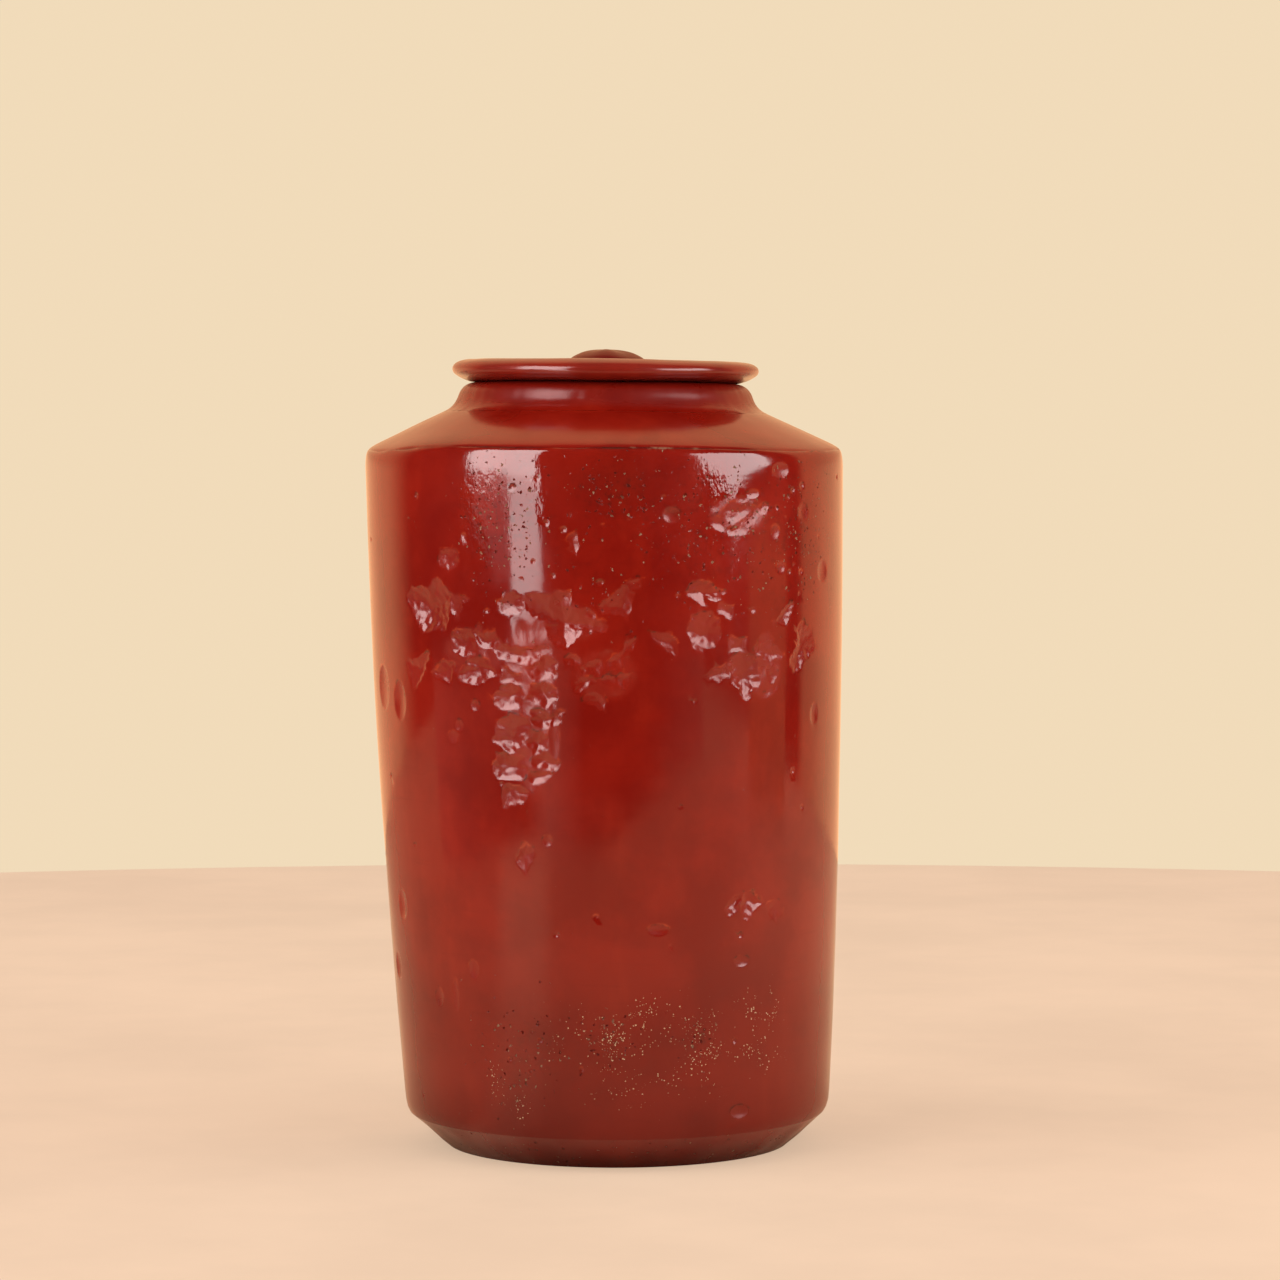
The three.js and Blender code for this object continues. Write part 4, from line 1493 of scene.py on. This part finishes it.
def pale_floor():
    """A wide round cloth, in soft uneven cream.

    The camera sees it brighter than it is, so its shadow stays pale.
    """
    studio = bpy.context.scene.canister_studio
    material = bpy.data.materials.new("floor_cloth")
    nodes = Nodes(material)
    nodes.place = nodes.node("ShaderNodeTexCoord").outputs["Object"]
    shader = nodes.tree.nodes["Principled BSDF"]
    tone = nodes.ramp(nodes.noise(6.0, detail=6.0, rough=0.6), 0.3, 0.7)
    cloth = nodes.blended(tone, scaled(studio.floor, 0.93), studio.floor)
    path = nodes.node("ShaderNodeLightPath")
    nodes.feed(shader.inputs["Base Color"], nodes.vector("MULTIPLY", cloth, mirrored_tint(nodes, path)))
    shader.inputs["Roughness"].default_value = 0.9
    shader.inputs["Specular IOR Level"].default_value = 0.2
    shine = nodes.node("ShaderNodeEmission", {"Color": cloth}).outputs[0]
    seen = nodes.times(path.outputs["Is Camera Ray"], FLOOR_SHINE)
    both = nodes.node("ShaderNodeMixShader", {0: seen, 1: shader.outputs[0], 2: shine})
    nodes.feed(nodes.tree.nodes["Material Output"].inputs["Surface"], both.outputs[0])
    turns = np.linspace(0, 2 * np.pi, FLOOR_CORNERS, endpoint=False)
    rim = [
        (FLOOR_RADIUS * math.cos(turn), FLOOR_RADIUS * math.sin(turn) - FLOOR_FORWARD, 0.0)
        for turn in turns]
    flat_card("floor", rim, material)


def reflected_screen(name, feet, first, second, height):
    """An upright glowing screen that only reflections see, over points of the floor: a painted reflection of
    what stands there.

    The shares blend its colours in the lower half. The upper half has the second one.
    """
    count = len(feet)
    levels = [0.0, 0.4 * height, 0.6 * height, height]
    corners = [(x, y, level) for level in levels for x, y, _ in feet]
    starts = [row * count + i for row in range(len(levels) - 1) for i in range(count - 1)]
    material = glow(name, first, 1.0)
    nodes = Nodes(material)
    colour = nodes.blended(nodes.attribute("share"), first, second)
    nodes.feed(nodes.tree.nodes["Emission"].inputs["Color"], colour)
    screen = stage_piece(name, corners, [(i, i + 1, count + i + 1, count + i) for i in starts], material)
    shares = 2 * [share for _, _, share in feet] + 2 * count * [1.0]
    screen.data.attributes.new("share", "FLOAT", "POINT").data.foreach_set("value", shares)
    screen.visible_camera = False
    screen.visible_diffuse = False
    screen.visible_shadow = False


def studio_world():
    """Pale paper behind, dim room in front. The camera sees the paper all round."""
    studio = bpy.context.scene.canister_studio
    world = bpy.data.worlds.new("studio")
    bpy.context.scene.world = world
    nodes = Nodes(world)
    way = nodes.node("ShaderNodeTexCoord").outputs["Generated"]
    paper_way = (math.sin(PAPER_TURN), math.cos(PAPER_TURN), 0.0)
    facing = nodes.node("ShaderNodeVectorMath", {0: way, 1: paper_way}, operation="DOT_PRODUCT")
    behind = facing.outputs["Value"]
    apart = nodes.node("ShaderNodeSeparateXYZ", {0: way}).outputs
    side = nodes.ramp(apart["X"], -0.02, 0.02)
    share = nodes.between(side, nodes.ramp(behind, 0.15, 0.55), nodes.ramp(behind, 0.36, 0.47))
    low_level = nodes.between(side, PAPER_LEFT, nodes.ramp(behind, 0.5, 0.75, *PAPER_RIGHT))
    level = nodes.between(nodes.ramp(apart["Z"], -0.01, 0.1), low_level, PAPER_ABOVE)
    colour = nodes.blended(share, studio.room, nodes.vector("SCALE", studio.warm_paper, level))
    seen = nodes.node("ShaderNodeLightPath").outputs["Is Camera Ray"]
    colour = nodes.blended(seen, colour, studio.backdrop)
    nodes.feed(nodes.tree.nodes["Background"].inputs["Color"], colour)


def main_camera():
    """The photograph's view."""
    studio = bpy.context.scene.canister_studio
    camera = bpy.data.objects.new("camera", bpy.data.cameras.new("camera"))
    camera.data.sensor_width = 36
    camera.data.lens = studio.lens
    camera.location = (studio.aside, -studio.distance, studio.eye_height)
    camera.rotation_euler = (math.pi / 2 - studio.pitch, studio.roll, 0)
    bpy.context.scene.collection.objects.link(camera)
    bpy.context.scene.camera = camera


class CANISTER_OT_stage(bpy.types.Operator):
    """Set up the floor, the light and the camera"""

    bl_idname = "canister.stage"
    bl_label = "Stage"

    def execute(self, context):
        studio = context.scene.canister_studio
        pale_floor()
        softbox("left_softbox", LEFT_SOFTBOX, studio.softbox, facing=-50, distance=2.2)
        softbox("left_strip", LEFT_STRIP, 0.62 * studio.softbox, facing=-35, distance=0.55)
        softbox("left_haze", LEFT_HAZE, 0.07 * studio.softbox, facing=-35, distance=0.55)
        softbox("right_softbox", RIGHT_SOFTBOX, 0.8 * studio.softbox, facing=60, distance=2.2)
        fill_card("left_fill", LEFT_FILL, 1.3 * studio.fill, facing=-62, distance=1.8)
        fill_card("right_fill", RIGHT_FILL, 1.2 * studio.fill, facing=62, distance=1.8)
        above = flat_card("top_fill", TOP_FILL, glow("top_fill", LAMP_WHITE, 0.38 * studio.fill))
        above.visible_camera = False
        above.visible_glossy = False
        reflected_screen("front_flag", TABLE_EDGE, studio.floor, studio.room, height=0.22)
        dim_paper = scaled(studio.warm_paper, 0.82)
        reflected_screen("right_screen", RIGHT_SCREEN, dim_paper, dim_paper, height=0.19)
        studio_world()
        main_camera()
        context.scene.view_settings.view_transform = "Standard"
        return {"FINISHED"}


class CANISTER_PT_sidebar(bpy.types.Panel):
    """Lists the canister's pieces and what can be changed"""

    bl_idname = "CANISTER_PT_sidebar"
    bl_label = "Clay canister"
    bl_space_type = "VIEW_3D"
    bl_region_type = "UI"
    bl_category = "Canister"

    def draw(self, context):
        for name, _ in SETTINGS:
            box = self.layout.box()
            group = getattr(context.scene, name)
            for key in group.__annotations__:
                box.prop(group, key)
        for operator in OPERATORS:
            self.layout.operator(operator.bl_idname)


SETTINGS = [
    ("canister_shape", CanisterShape),
    ("canister_wear", CanisterWear),
    ("canister_finish", CanisterFinish),
    ("canister_studio", CanisterStudio),
]
OPERATORS = [
    CANISTER_OT_base_disc,
    CANISTER_OT_body_wall,
    CANISTER_OT_shoulder_ring,
    CANISTER_OT_neck_collar,
    CANISTER_OT_lid_plate,
    CANISTER_OT_lid_flange,
    CANISTER_OT_lid_knob,
    CANISTER_OT_stage,
]


def register():
    """Adds the settings, the operators and the panel."""
    for name, group in SETTINGS:
        bpy.utils.register_class(group)
        setattr(bpy.types.Scene, name, PointerProperty(type=group))
    for shown in [*OPERATORS, CANISTER_PT_sidebar]:
        bpy.utils.register_class(shown)


def unregister():
    """Takes them away again."""
    for shown in reversed([*OPERATORS, CANISTER_PT_sidebar]):
        bpy.utils.unregister_class(shown)
    for name, group in reversed(SETTINGS):
        delattr(bpy.types.Scene, name)
        bpy.utils.unregister_class(group)


def main():
    """Makes every piece and the stage."""
    register()
    bpy.ops.canister.base_disc()
    bpy.ops.canister.body_wall()
    bpy.ops.canister.shoulder_ring()
    bpy.ops.canister.neck_collar()
    bpy.ops.canister.lid_plate()
    bpy.ops.canister.lid_flange()
    bpy.ops.canister.lid_knob()
    bpy.ops.canister.stage()


if __name__ == "__main__":
    main()
